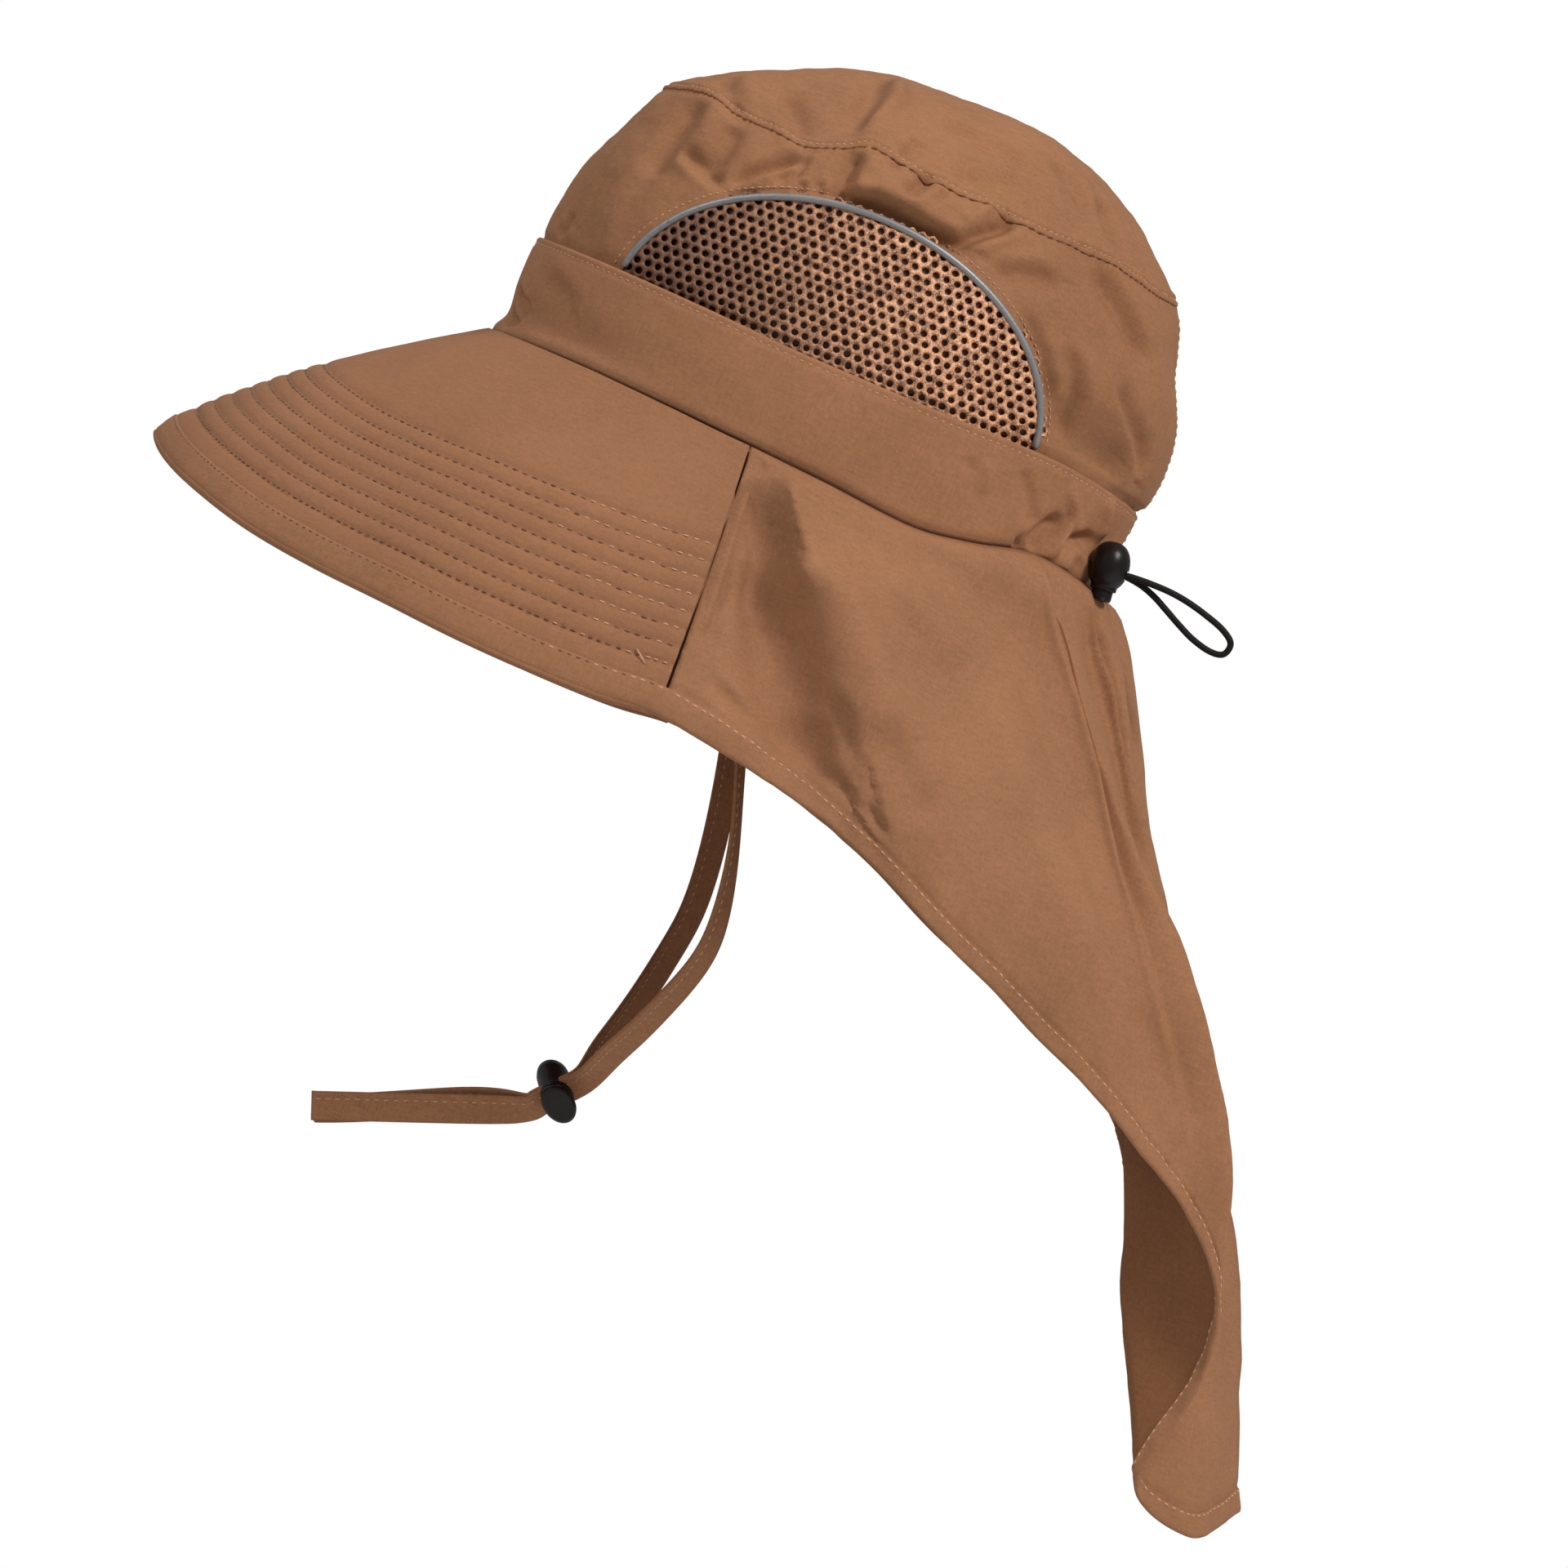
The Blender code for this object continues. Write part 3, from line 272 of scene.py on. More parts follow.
def layGrid(name, columns, rows, place, body="hat", closed=False, wall=0.0, relief=None, caps=False):
    # a sheet laid out by a rule: place(across, up) takes two shares and gives points in the room
    bm = bmesh.new()
    bm.loops.layers.uv.verify()
    bmesh.ops.create_grid(bm, x_segments=columns, y_segments=rows, size=0.5, calc_uvs=True)
    flat = np.array([vert.co[:2] for vert in bm.verts]) + 0.5
    across, up = flat[:, 0], flat[:, 1]
    points = place(across, up)
    if relief is not None:
        step = 0.0006
        aLow, aHigh = np.clip(across - step, 0, 1), np.clip(across + step, 0, 1)
        uLow, uHigh = np.clip(up - step, 0, 1), np.clip(up + step, 0, 1)
        normals = unit(np.cross(place(aHigh, up) - place(aLow, up), place(across, uHigh) - place(across, uLow)))
        points = points + normals * relief(across, up, points, normals)[..., None]
    for vert, point in zip(bm.verts, points):
        vert.co = point
    if closed:
        bmesh.ops.remove_doubles(bm, verts=bm.verts, dist=2e-6)
    if caps:
        bmesh.ops.holes_fill(bm, edges=[edge for edge in bm.edges if edge.is_boundary], sides=0)
        bmesh.ops.recalc_face_normals(bm, faces=bm.faces)
    return addPiece(name, bm, body, wall)


def meshFrom(name, bm):
    mesh = bpy.data.meshes.new(name)
    bm.to_mesh(mesh)
    bm.free()
    return mesh


def show(name, mesh):
    piece = bpy.data.objects.new(name, mesh)
    bpy.context.scene.collection.objects.link(piece)
    return piece


def thicken(piece, wall, offset=-1.0, inner=1, even=False):
    solidify = piece.modifiers.new("wall", "SOLIDIFY")
    solidify.thickness = wall
    solidify.offset = offset
    solidify.use_quality_normals = even
    solidify.material_offset = inner


def addPiece(name, bm, body="hat", wall=0.0, finish=None):
    mesh = meshFrom(name, bm)
    mesh.shade_smooth()
    piece = show(name, mesh)
    if finish:
        mesh.materials.append(finish)
    if wall:
        thicken(piece, wall, even=True)
    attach(piece, body)
    return piece


def faceOut(piece):
    bm = bmesh.new()
    bm.from_mesh(piece.data)
    bmesh.ops.recalc_face_normals(bm, faces=bm.faces)
    bm.to_mesh(piece.data)
    bm.free()


def dress(piece, finish, inside=None):
    # the outer finish, and the one that the wall's inner face gets
    piece.data.materials.append(finishes[finish])
    piece.data.materials.append(finishes[inside or finish])


def rowOn(place, relief, across, up):
    # points and normals along a row on a laid sheet, its relief included
    step = 0.0008
    across, up = np.broadcast_arrays(np.asarray(across, float), np.asarray(up, float))
    points = place(across, up)
    sideways = place(across + step, up) - place(across - step, up)
    upward = place(across, np.minimum(up + step, 1)) - place(across, np.maximum(up - step, 0))
    normals = unit(np.cross(sideways, upward))
    return points + normals * relief(across, up, points, normals)[..., None], normals


foldLook = {
    "reach": 0.03, "fadeIn": 0.02, "fade": 0.3,  # metres off its line, metres at its start, share of its length
    "crest": 0.16, "crestWidth": 0.12, "dropWidth": 0.13, "recover": 1.1,  # a knife pleat, in widths of the fold
}


def foldRelief(points, normals, folds, scale=1.0):
    # each fold: height, width and side step in millimetres, sharpness, and its line in the room in millimetres
    total = np.zeros(len(points))
    for height, width, step, sharp, spots in folds:
        line = np.array(spots, float) / 1000
        pieces = list(zip(line, line[1:]))
        lengths = [np.linalg.norm(b - a) for a, b in pieces]
        whole, start = sum(lengths), 0.0
        nearest, side, along = np.full(len(points), 9.0), np.ones(len(points)), np.zeros(len(points))
        for (a, b), length in zip(pieces, lengths):
            run = b - a
            t = np.clip((points - a) @ run / length ** 2, 0.0, 1.0)
            gap = points - a - t[:, None] * run
            lift = np.einsum("ij,ij->i", gap, normals)
            gap = gap - lift[:, None] * normals  # measured along the cloth, wherever the line floats over it
            distance = np.where(np.abs(lift) < foldLook["reach"], np.linalg.norm(gap, axis=1), 9.0)
            facing = np.einsum("ij,ij->i", np.cross(run, gap), normals)
            closer = distance < nearest
            nearest = np.where(closer, distance, nearest)
            side = np.where(closer, np.sign(facing), side)
            along = np.where(closer, (start + t * length) / whole, along)
            start += length
        s = side * nearest / (width / 1000)
        shape = (1 - sharp) * hill(s) + sharp * np.exp(0.26 - 1.3 * np.sqrt(s * s + 0.04))
        if sharp > 1:  # a knife pleat: a crisp edge, a straight drop behind it and a slow rise back
            behind = np.maximum(s * np.sign(step), 0.0)
            crest = foldLook["crest"] * hill(s / foldLook["crestWidth"])
            shape = crest - (1 - hill(behind / foldLook["dropWidth"])) * np.exp(-foldLook["recover"] * behind)
            step = 0.0
        fade = foldLook["fade"]
        ends = ease(0.25 + along / min(fade, foldLook["fadeIn"] / whole)) * ease(0.25 + (1 - along) / fade)
        total += scale * ends * (height * shape + step * 2.33 * s * hill(s)) / 1000
    return total


def mirrored(folds, shift):
    # the same kind of folds on the far side, moved a little so that the two sides differ
    result = []
    for height, width, step, sharp, spots in folds:
        result.append((height, width, -step, sharp, tuple((-x, y + shift, z) for x, y, z in spots)))
    return result


def ripples(points, scale, seed, detail=0.4):
    offset = Vector((seed, seed * 0.7, -seed))
    return np.array([noise.noise(Vector(spot) * scale + offset)
                     + detail * noise.noise(Vector(spot) * scale * 2.6 + offset) for spot in points])


def waves(points, rows):
    # height in metres, scale and seed of each
    return sum(height * ripples(points, scale, seed) for height, scale, seed in rows)


def pucker(points, phase):
    # the small waves that a row of stitches draws
    return seamLook["pucker"] * np.sin(phase + 3 * ripples(points, 60.0, 3.0, 0.0))


def crease(line, distance):
    depth, width = line
    return depth * hill(distance / width)


def felledSeam(angle, dip):
    # two layers more on each side of the centre back's seam, and its groove
    arc = (angle - 180.0) * math.radians(worn["back"])
    return seamLook["height"] * ease((seamLook["half"] - np.abs(arc)) / seamLook["edge"]) - dip * hill(
        arc / seamLook["edge"])


seamLook = {"height": 0.0003, "half": 0.0032, "edge": 0.0006, "crownDip": 0.0005, "bandDip": 0.0004, "pucker": 0.00035}


def sewRow(spots, normals, pitch, thread, share=0.62, lift=0.1):
    # one matrix for each stitch along a row of points
    lengths = tripsAlong(spots)
    count = int(lengths[-1] / pitch)
    result = []
    for index in range(count):
        middle = (index + 0.5) * pitch + dice.uniform(-0.04, 0.04) * pitch
        ends = [middle - pitch * share / 2, middle + pitch * share / 2]
        a, b = ([np.interp(end, lengths, spots[:, k]) for k in range(3)] for end in ends)
        normal = np.array([np.interp(middle, lengths, normals[:, k]) for k in range(3)])
        a, b, normal = Vector(a), Vector(b), Vector(normal).normalized()
        along = b - a
        if along.length < pitch * 0.2:
            continue
        across = normal.cross(along).normalized()
        normal = along.cross(across).normalized()
        centre = (a + b) / 2 + normal * thread * lift
        basis = Matrix((along * 0.5, across * thread / 2, normal * thread / 2)).transposed().to_4x4()
        result.append(Matrix.Translation(centre) @ basis)
    return result


def sewPiece(name, stitches, finish, body="hat"):
    # every stitch is a copy of one small rounded thread that dips at its ends
    seed = bmesh.new()
    bmesh.ops.create_uvsphere(seed, u_segments=6, v_segments=6, radius=1.0)
    bmesh.ops.rotate(seed, verts=seed.verts, cent=(0, 0, 0), matrix=Matrix.Rotation(math.pi / 2, 3, "Y"))
    for vert in seed.verts:
        vert.co.z -= 0.9 * vert.co.x ** 4
    stitch = meshFrom(name + "One", seed)
    base = np.array([(*vert.co, 1.0) for vert in stitch.vertices])
    bm = bmesh.new()
    for matrix in stitches:
        stitch.vertices.foreach_set("co", (base @ np.array(matrix).T)[:, :3].astype(np.float32).ravel())
        bm.from_mesh(stitch)
    bpy.data.meshes.remove(stitch)
    return addPiece(name, bm, body, finish=finish)


class Wire:
    # a socket that takes part in sums, so that 1 - mask works
    def __init__(self, finish, socket):
        self.finish, self.socket = finish, socket

    def maths(self, operation, first, second):
        return self.finish.node("ShaderNodeMath", {"operation": operation}, {0: first, 1: second})

    def __add__(self, other):
        return self.maths("ADD", self, other)

    def __sub__(self, other):
        return self.maths("SUBTRACT", self, other)

    def __rsub__(self, other):
        return self.maths("SUBTRACT", other, self)

    def __mul__(self, other):
        return self.maths("MULTIPLY", self, other)

    def __pow__(self, other):
        return self.maths("POWER", self, other)

    __radd__ = __add__
    __rmul__ = __mul__


class Finish:
    # a Principled material with one method for any node
    def __init__(self, name, roughness, **constants):
        self.material = bpy.data.materials.new(name)
        self.material.use_nodes = True
        self.tree = self.material.node_tree
        self.shader = self.tree.nodes["Principled BSDF"]
        self.shader.inputs["Roughness"].default_value = roughness
        for key, value in constants.items():
            self.shader.inputs[key.replace("_", " ")].default_value = value

    def node(self, kind, settings=None, sockets=None, output=0):
        made = self.tree.nodes.new(kind)
        for key, value in (settings or {}).items():
            if key == "stops":
                ramp = made.color_ramp
                while len(ramp.elements) < len(value):
                    ramp.elements.new(0.5)
                for element, (place, colour) in zip(ramp.elements, value):
                    element.position = place
                    element.color = (*colour, 1.0)
            else:
                setattr(made, key, value)
        for key, value in (sockets or {}).items():
            if isinstance(value, Wire):
                self.tree.links.new(value.socket, made.inputs[key])
            else:
                made.inputs[key].default_value = value
        return Wire(self, made.outputs[output])

    def place(self, output=3):
        # 3 is the object's own place, 2 its UV
        return self.node("ShaderNodeTexCoord", None, None, output)

    def cloud(self, place, scale, detail):
        return self.node("ShaderNodeTexNoise", None, {"Vector": place, "Scale": scale, "Detail": detail})

    def blend(self, factor, first, second):
        # colours as tuples or wires
        settings = {"data_type": "RGBA", "blend_type": "MIX"}
        sockets = {0: factor}
        for key, value in ((6, first), (7, second)):
            sockets[key] = value if isinstance(value, Wire) else (*value, 1.0)
        return self.node("ShaderNodeMix", settings, sockets, 2)

    def feed(self, socket, value):
        self.tree.links.new(value.socket, self.shader.inputs[socket])

    def relief(self, height, strength, distance):
        bump = self.node("ShaderNodeBump", None, {"Height": height, "Strength": strength, "Distance": distance})
        self.feed("Normal", bump)


def shade(colour, factor):
    return tuple(channel * factor for channel in colour)


def clothFinish(name, colour, weave=0.00042, streak=0.15, roughness=0.80, sheen=0.03, grain=1.0):
    # tightly woven polyester: fine yarns both ways, soft unevenness, and a dull sheen
    cloth = Finish(name, roughness, Sheen_Weight=sheen, Sheen_Roughness=0.45, Specular_IOR_Level=0.14)
    cloth.shader.inputs["Sheen Tint"].default_value = (1.0, 0.75, 0.55, 1.0)
    place = cloth.place()
    tilted = cloth.node("ShaderNodeMapping", None, {0: place, 2: (worn["tilt"], 0.0, 0.0)})
    cloud = cloth.cloud(tilted, 26.0, 4.0)
    fine = cloth.cloud(tilted, 900.0, 2.0)
    acrossStretch = cloth.node("ShaderNodeMapping", None, {0: tilted, 3: (0.16, 0.16, 1.0)})
    weft = cloth.cloud(acrossStretch, 1.0 / weave / 1.4, 1.0)
    upStretch = cloth.node("ShaderNodeMapping", None, {0: tilted, 3: (1.0, 1.0, 0.16)})
    warp = cloth.cloud(upStretch, 1.0 / weave / 1.4, 1.0)
    yarns = weft * 0.5 + warp * 0.5
    tone = (cloud - 0.5) * 0.8 + (yarns - 0.5) * 1.2 * grain + (fine - 0.5) * 0.5 * grain + 0.5
    colourWire = cloth.blend(tone, shade(colour, 1 - streak * 1.6), shade(colour, 1 + streak * 1.6))
    cloth.feed("Base Color", colourWire)
    cloth.feed("Roughness", (yarns - 0.5) * 0.2 + roughness)
    cloth.relief(yarns * 0.7 + fine * 0.3, 0.35 * grain, 0.00025)
    return cloth.material


def threadFinish(name, colour):
    thread = Finish(name, 0.55, Sheen_Weight=0.2, Specular_IOR_Level=0.4)
    place = thread.place()
    twist = thread.cloud(place, 2600.0, 1.0)
    broad = thread.cloud(place, 60.0, 1.0)
    tone = twist * 0.5 + broad * 0.5
    thread.feed("Base Color", thread.blend(tone, shade(colour, 0.75), shade(colour, 1.25)))
    thread.relief(twist, 0.5, 0.0002)
    return thread.material


def plasticFinish(name, colour, roughness=0.34):
    # moulded plastic: fine grain from the tool, and a few rubbed patches
    plastic = Finish(name, roughness, Specular_IOR_Level=0.24)
    place = plastic.place()
    grain = plastic.cloud(place, 2400.0, 2.0)
    rubbed = plastic.cloud(place, 240.0, 3.0)
    plastic.feed("Base Color", plastic.blend(rubbed, shade(colour, 0.7), shade(colour, 1.5)))
    plastic.feed("Roughness", rubbed * 0.25 + (roughness - 0.12))
    plastic.relief(grain, 0.25, 0.00015)
    return plastic.material


def cordFinish(name, colour):
    # braided sleeve over rubber, read along the cord's own UV
    cord = Finish(name, 0.6, Specular_IOR_Level=0.2)
    uv = cord.place(2)
    rows = cord.node("ShaderNodeMapping", None, {0: uv, 3: (6.0, 150.0, 1.0), 2: (0, 0, 0)})
    braid = cord.node("ShaderNodeTexBrick", {"offset": 0.5}, {
        "Vector": rows, "Scale": 1.0, "Mortar Size": 0.12, "Mortar Smooth": 1.0, "Brick Width": 1.0,
        "Row Height": 1.0}, 1)
    cord.feed("Base Color", cord.blend(braid, shade(colour, 1.3), shade(colour, 0.45)))
    cord.relief(1 - braid, 0.7, 0.00012)
    return cord.material


def pipingFinish(name, colour):
    # grey reflective tape: tiny glass beads, and fine cracks across it
    piping = Finish(name, 0.42, Metallic=0.35, Specular_IOR_Level=0.5)
    place = piping.place()
    beads = piping.cloud(place, 3800.0, 1.0)
    cracks = piping.node("ShaderNodeTexVoronoi", {"feature": "DISTANCE_TO_EDGE"}, {"Vector": place, "Scale": 150.0})
    crack = piping.node("ShaderNodeMapRange", None, {0: cracks, 1: 0.0, 2: 0.03, 3: 1.0, 4: 0.0})
    patch = piping.cloud(place, 28.0, 2.0)
    mask = crack * (patch ** 3.0) * 1.6
    base = piping.blend(beads, shade(colour, 0.85), shade(colour, 1.15))
    piping.feed("Base Color", piping.blend(mask, base, shade(colour, 0.25)))
    piping.relief(beads * 0.3 - mask, 0.4, 0.0002)
    return piping.material


def yarnFinish(name, colour, paintedHighlight):
    # shiny knitted yarn of the spacer mesh, with painted light: darker towards -Y, blended towards a painted highlight
    # colour towards +Y, the key lamp's side
    yarn = Finish(name, 0.36, Specular_IOR_Level=0.35)
    place = yarn.place()
    strands = yarn.cloud(place, 2200.0, 2.0)
    broad = yarn.cloud(place, 420.0, 1.0)
    parts = yarn.node("ShaderNodeSeparateXYZ", None, {0: place}, 1)
    # painted light: a mask that rises along +Y, towards the key lamp
    forward = yarn.node("ShaderNodeMapRange", {"interpolation_type": "SMOOTHSTEP"}, {0: parts, 1: -0.05, 2: 0.06})
    tone = yarn.node("ShaderNodeMapRange", None, {0: strands * 0.6 + broad * 0.4, 1: 0.36, 2: 0.66})
    yarnAndPaintedLight = tone * (forward * 1.10 + 0.16)
    yarn.feed("Base Color", yarn.blend(yarnAndPaintedLight, shade(colour, 0.6), paintedHighlight))
    yarn.feed("Roughness", 0.62 - tone * 0.30)
    yarn.relief(strands * 0.6 + broad * 0.6, 0.7, 0.0004)
    return yarn.material


colours = {
    "crown": (0.292, 0.134, 0.064), "band": (0.314, 0.145, 0.071), "visor": (0.288, 0.132, 0.065),
    # the inside colour is the same cloth made darker: painted shade for the inner faces
    "flap": (0.305, 0.142, 0.070), "shadedInside": (0.215, 0.090, 0.040), "strap": (0.300, 0.136, 0.066),
    # the shadow thread is a darker copy of the thread, painted shade for the stitches at the front
    "thread": (0.56, 0.33, 0.190), "nearThread": (0.47, 0.26, 0.145), "shadowThread": (0.15, 0.066, 0.030),
    # the mesh's bright second colour is a painted highlight
    "mesh": (0.15, 0.056, 0.028), "meshPaintedHighlight": (0.88, 0.46, 0.26), "shadedBacking": (0.070, 0.024, 0.012),
    "piping": (0.240, 0.236, 0.236), "plastic": (0.0080, 0.0050, 0.0046), "cord": (0.0060, 0.0048, 0.0045),
}
finishes = {
    "crown": clothFinish("crownPolyester", colours["crown"]),
    "band": clothFinish("bandPolyester", colours["band"]),
    "visor": clothFinish("visorPolyester", colours["visor"], streak=0.12),
    "flap": clothFinish("flapPolyester", colours["flap"]),
    # the inner faces' finish, darker as painted shade
    "shadedInside": clothFinish("clothInsideShaded", colours["shadedInside"], sheen=0.0),
    "strap": clothFinish("strapPolyester", colours["strap"], grain=1.3),
    "thread": threadFinish("sewingThread", colours["thread"]),
    "nearThread": threadFinish("crownThread", colours["nearThread"]),
    "shadowThread": threadFinish("shadedThread", colours["shadowThread"]),
    "mesh": yarnFinish("spacerYarn", colours["mesh"], colours["meshPaintedHighlight"]),
    # the back sheet's dark colour is painted shade, for the shade seen through the holes
    "shadedBacking": yarnFinish("shadedBackingYarn", colours["shadedBacking"], shade(colours["shadedBacking"], 2.0)),
    "piping": pipingFinish("reflectiveTape", colours["piping"]),
    "plastic": plasticFinish("mouldedPlastic", colours["plastic"]),
    "cord": cordFinish("elasticBraid", colours["cord"]),
}
print("stage: finishes ready")


studio = {
    "camera": (2.2, -0.002, -0.1005), "lens": 165.0, "floorDrop": 0.13, "floorSize": 1.6,
    "ambient": 0.32, "background": 1.0,
    "lamps": (  # place, aim, size, watts, colour
        ((1.3, 1.4, 1.1), (0.0, 0.0, -0.08), 0.5, 35.0, (1.0, 0.985, 0.965)),
        ((0.9, -1.2, 1.5), (0.0, 0.0, -0.05), 0.9, 14.0, (1.0, 1.0, 1.0)),
        ((-0.2, 0.3, 1.9), (0.0, 0.0, 0.0), 0.9, 6.0, (1.0, 1.0, 1.0)),
    ),
}


def setUpStudio():
    scene = bpy.context.scene
    camera = bpy.data.objects.new("camera", bpy.data.cameras.new("camera"))
    camera.location = studio["camera"]
    camera.rotation_euler = (math.pi / 2, 0.0, math.pi / 2)
    camera.data.lens = studio["lens"]
    camera.data.sensor_width = 36.0
    camera.data.clip_end = 20.0
    scene.collection.objects.link(camera)
    scene.camera = camera
    scene.view_settings.view_transform = "Standard"
    world = bpy.data.worlds.new("studio")
    scene.world = world
    world.use_nodes = True
    tree = world.node_tree
    back = tree.nodes["Background"]
    seen = tree.nodes.new("ShaderNodeLightPath")
    scale = tree.nodes.new("ShaderNodeMapRange")
    scale.inputs["To Min"].default_value = studio["ambient"]
    scale.inputs["To Max"].default_value = studio["background"]
    tree.links.new(seen.outputs["Is Camera Ray"], scale.inputs["Value"])
    tree.links.new(scale.outputs[0], back.inputs["Strength"])
    back.inputs["Color"].default_value = (1.0, 1.0, 1.0, 1.0)
    for index, (place, aim, size, watts, colour) in enumerate(studio["lamps"]):
        lamp = bpy.data.lights.new(f"softbox{index}", "AREA")
        lamp.shape = "SQUARE"
        lamp.size = size
        lamp.energy = watts
        lamp.color = colour
        holder = bpy.data.objects.new(lamp.name, lamp)
        holder.location = place
        holder.rotation_euler = (Vector(aim) - Vector(place)).to_track_quat("-Z", "Y").to_euler()
        scene.collection.objects.link(holder)
    bm = bmesh.new()
    bmesh.ops.create_grid(bm, x_segments=2, y_segments=2, size=studio["floorSize"] / 2)
    bmesh.ops.translate(bm, verts=bm.verts, vec=(0.0, 0.0, cadLow.z - studio["floorDrop"]))
    floor = show("floor", meshFrom("floor", bm))
    pale = Finish("paleFloor", 0.8)
    pale.shader.inputs["Base Color"].default_value = (0.86, 0.86, 0.86, 1.0)
    floor.data.materials.append(pale.material)


setUpStudio()
print("stage: camera, floor and light")


cordLook = {
    "diameter": 0.0020, "lockAngle": 158.0, "lockHeight": 0.22, "lockDiameter": 0.0123, "lockRest": 0.0009,
    "route": (  # across, back and up from the ball lock's slot, out round the loop and back
        (0.0013, -0.0058, 0.0016), (0.0013, -0.0030, 0.0008), (0.0013, 0.0000, 0.0000), (0.0013, 0.0040, -0.0011),
        (0.0014, 0.0080, -0.0023), (0.0014, 0.0128, -0.0040), (0.0010, 0.0185, -0.0064), (0.0004, 0.0239, -0.0094),
        (-0.0002, 0.0295, -0.0134), (-0.0010, 0.0346, -0.0178), (-0.0015, 0.0370, -0.0219),
        (-0.0018, 0.0349, -0.0251), (-0.0018, 0.0308, -0.0243), (-0.0017, 0.0256, -0.0206),
        (-0.0016, 0.0212, -0.0160), (-0.0015, 0.0174, -0.0116), (-0.0014, 0.0138, -0.0076),
        (-0.0013, 0.0096, -0.0041), (-0.0013, 0.0040, -0.0011), (-0.0013, 0.0000, 0.0000),
        (-0.0013, -0.0030, 0.0008), (-0.0013, -0.0058, 0.0016)),
}


def backLockCentre():
    angle, height = cordLook["lockAngle"], cordLook["lockHeight"]
    spot, near, far = (bandPoint(np.array(angle + step), np.array(height)) for step in (0.0, -1.0, 1.0))
    outward = unit(np.array((far[1] - near[1], near[0] - far[0], 0.0)))
    return toRoom(spot + outward * (cordLook["lockDiameter"] / 2 + cordLook["lockRest"]))


def smoothLine(rows, steps):
    # evenly by row number, through every row
    flat = [(index, *row) for index, row in enumerate(rows)]
    at = np.linspace(0, len(rows) - 1, steps + 1)
    return np.stack([readCurve(flat, at, column) for column in range(1, len(rows[0]) + 1)], axis=-1)


def sweep(name, line, radius, segments, body, finish, squeeze=None):
    # a tube along a line, with a frame that doesn't twist
    along = unit(np.gradient(line, axis=0))
    sides = [unit(np.cross(along[0], (0.3, 0.1, 1.0)))]
    for step in along[1:]:
        sides.append(unit(sides[-1] - step * np.dot(sides[-1], step)))
    sides = np.array(sides)
    tops = np.cross(along, sides)
    last = len(line) - 1

    def place(across, up):
        index = np.rint(up * last).astype(int)
        turn = -across * math.tau
        reach = radius if squeeze is None else radius * squeeze(up)
        ray = sides[index] * np.cos(turn)[:, None] + tops[index] * np.sin(turn)[:, None]
        return line[index] + ray * np.reshape(reach, (-1, 1))

    piece = layGrid(name, segments, last, place, body, closed=True, caps=True)
    piece.data.materials.append(finish)
    return piece


def makeDrawcord():
    centre = backLockCentre()
    line = smoothLine([centre + np.array(step) for step in cordLook["route"]], 168)
    piece = sweep("drawcordElastic", line, cordLook["diameter"] / 2, 14, "hat", finishes["cord"])
    length = float(np.sum(np.linalg.norm(np.diff(line, axis=0), axis=1)))
    print(f"drawcord is {length * 1000:.0f} mm long")
    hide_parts("drawcord")
    [list(map(float, spot)) for spot in line]


makeDrawcord()
print("stage: drawcord")


def ventFoot():
    return float(bandUpper(np.array(90.0))) - ventLook["foot"]


def ventArch():
    # where the half-moon springs, and how far it rises
    spring = ventFoot() + ventLook["foot"]
    return spring, crownLook["seamHeight"] - ventLook["topMargin"] - spring


def ventRadius(y, z):
    # below 1 inside the half-moon, 1 on its arch
    spring, rise = ventArch()
    up = (z - spring) / rise
    return np.hypot(y / ventLook["halfLength"], np.maximum(up, 0.0))


def archPoint(turn, inset=0.0):
    spring, rise = ventArch()
    return (-(ventLook["halfLength"] - inset) * np.cos(np.radians(turn)),
            spring + (rise - inset) * np.sin(np.radians(turn)))


def crownAngle(y):
    reach = np.where(y < 0, worn["front"], worn["back"])
    return 90.0 + np.degrees(np.arcsin(np.clip(y / reach, -1.0, 1.0)))


def crownAt(y, z, side, inset):
    # the crown's side at a height and a place along the hat
    reach = np.where(y < 0, worn["front"], worn["back"])
    angle = crownAngle(y)
    for _ in range(8):
        low = bandUpper(angle)
        share = np.where(z >= low, (z - low) / (crownLook["seamHeight"] - low), (z - low) / bandLook["tuck"])
        point = crownPoint(angle, share, inset)
        angle = angle + np.degrees((y - point[..., 1]) / reach) / np.maximum(0.3, np.sin(np.radians(angle)))
    return stack(side * point[..., 0], y, z)


crownRows = {"columns": 470, "rows": 96, "hidden": 0.08}


def crownShare(up):
    hidden = crownRows["hidden"]
    return np.where(up < hidden, up / hidden - 1.0, (up - hidden) / (1 - hidden))


def placeCrown(across, up):
    return toRoom(crownPoint(360.0 * across, crownShare(up)))


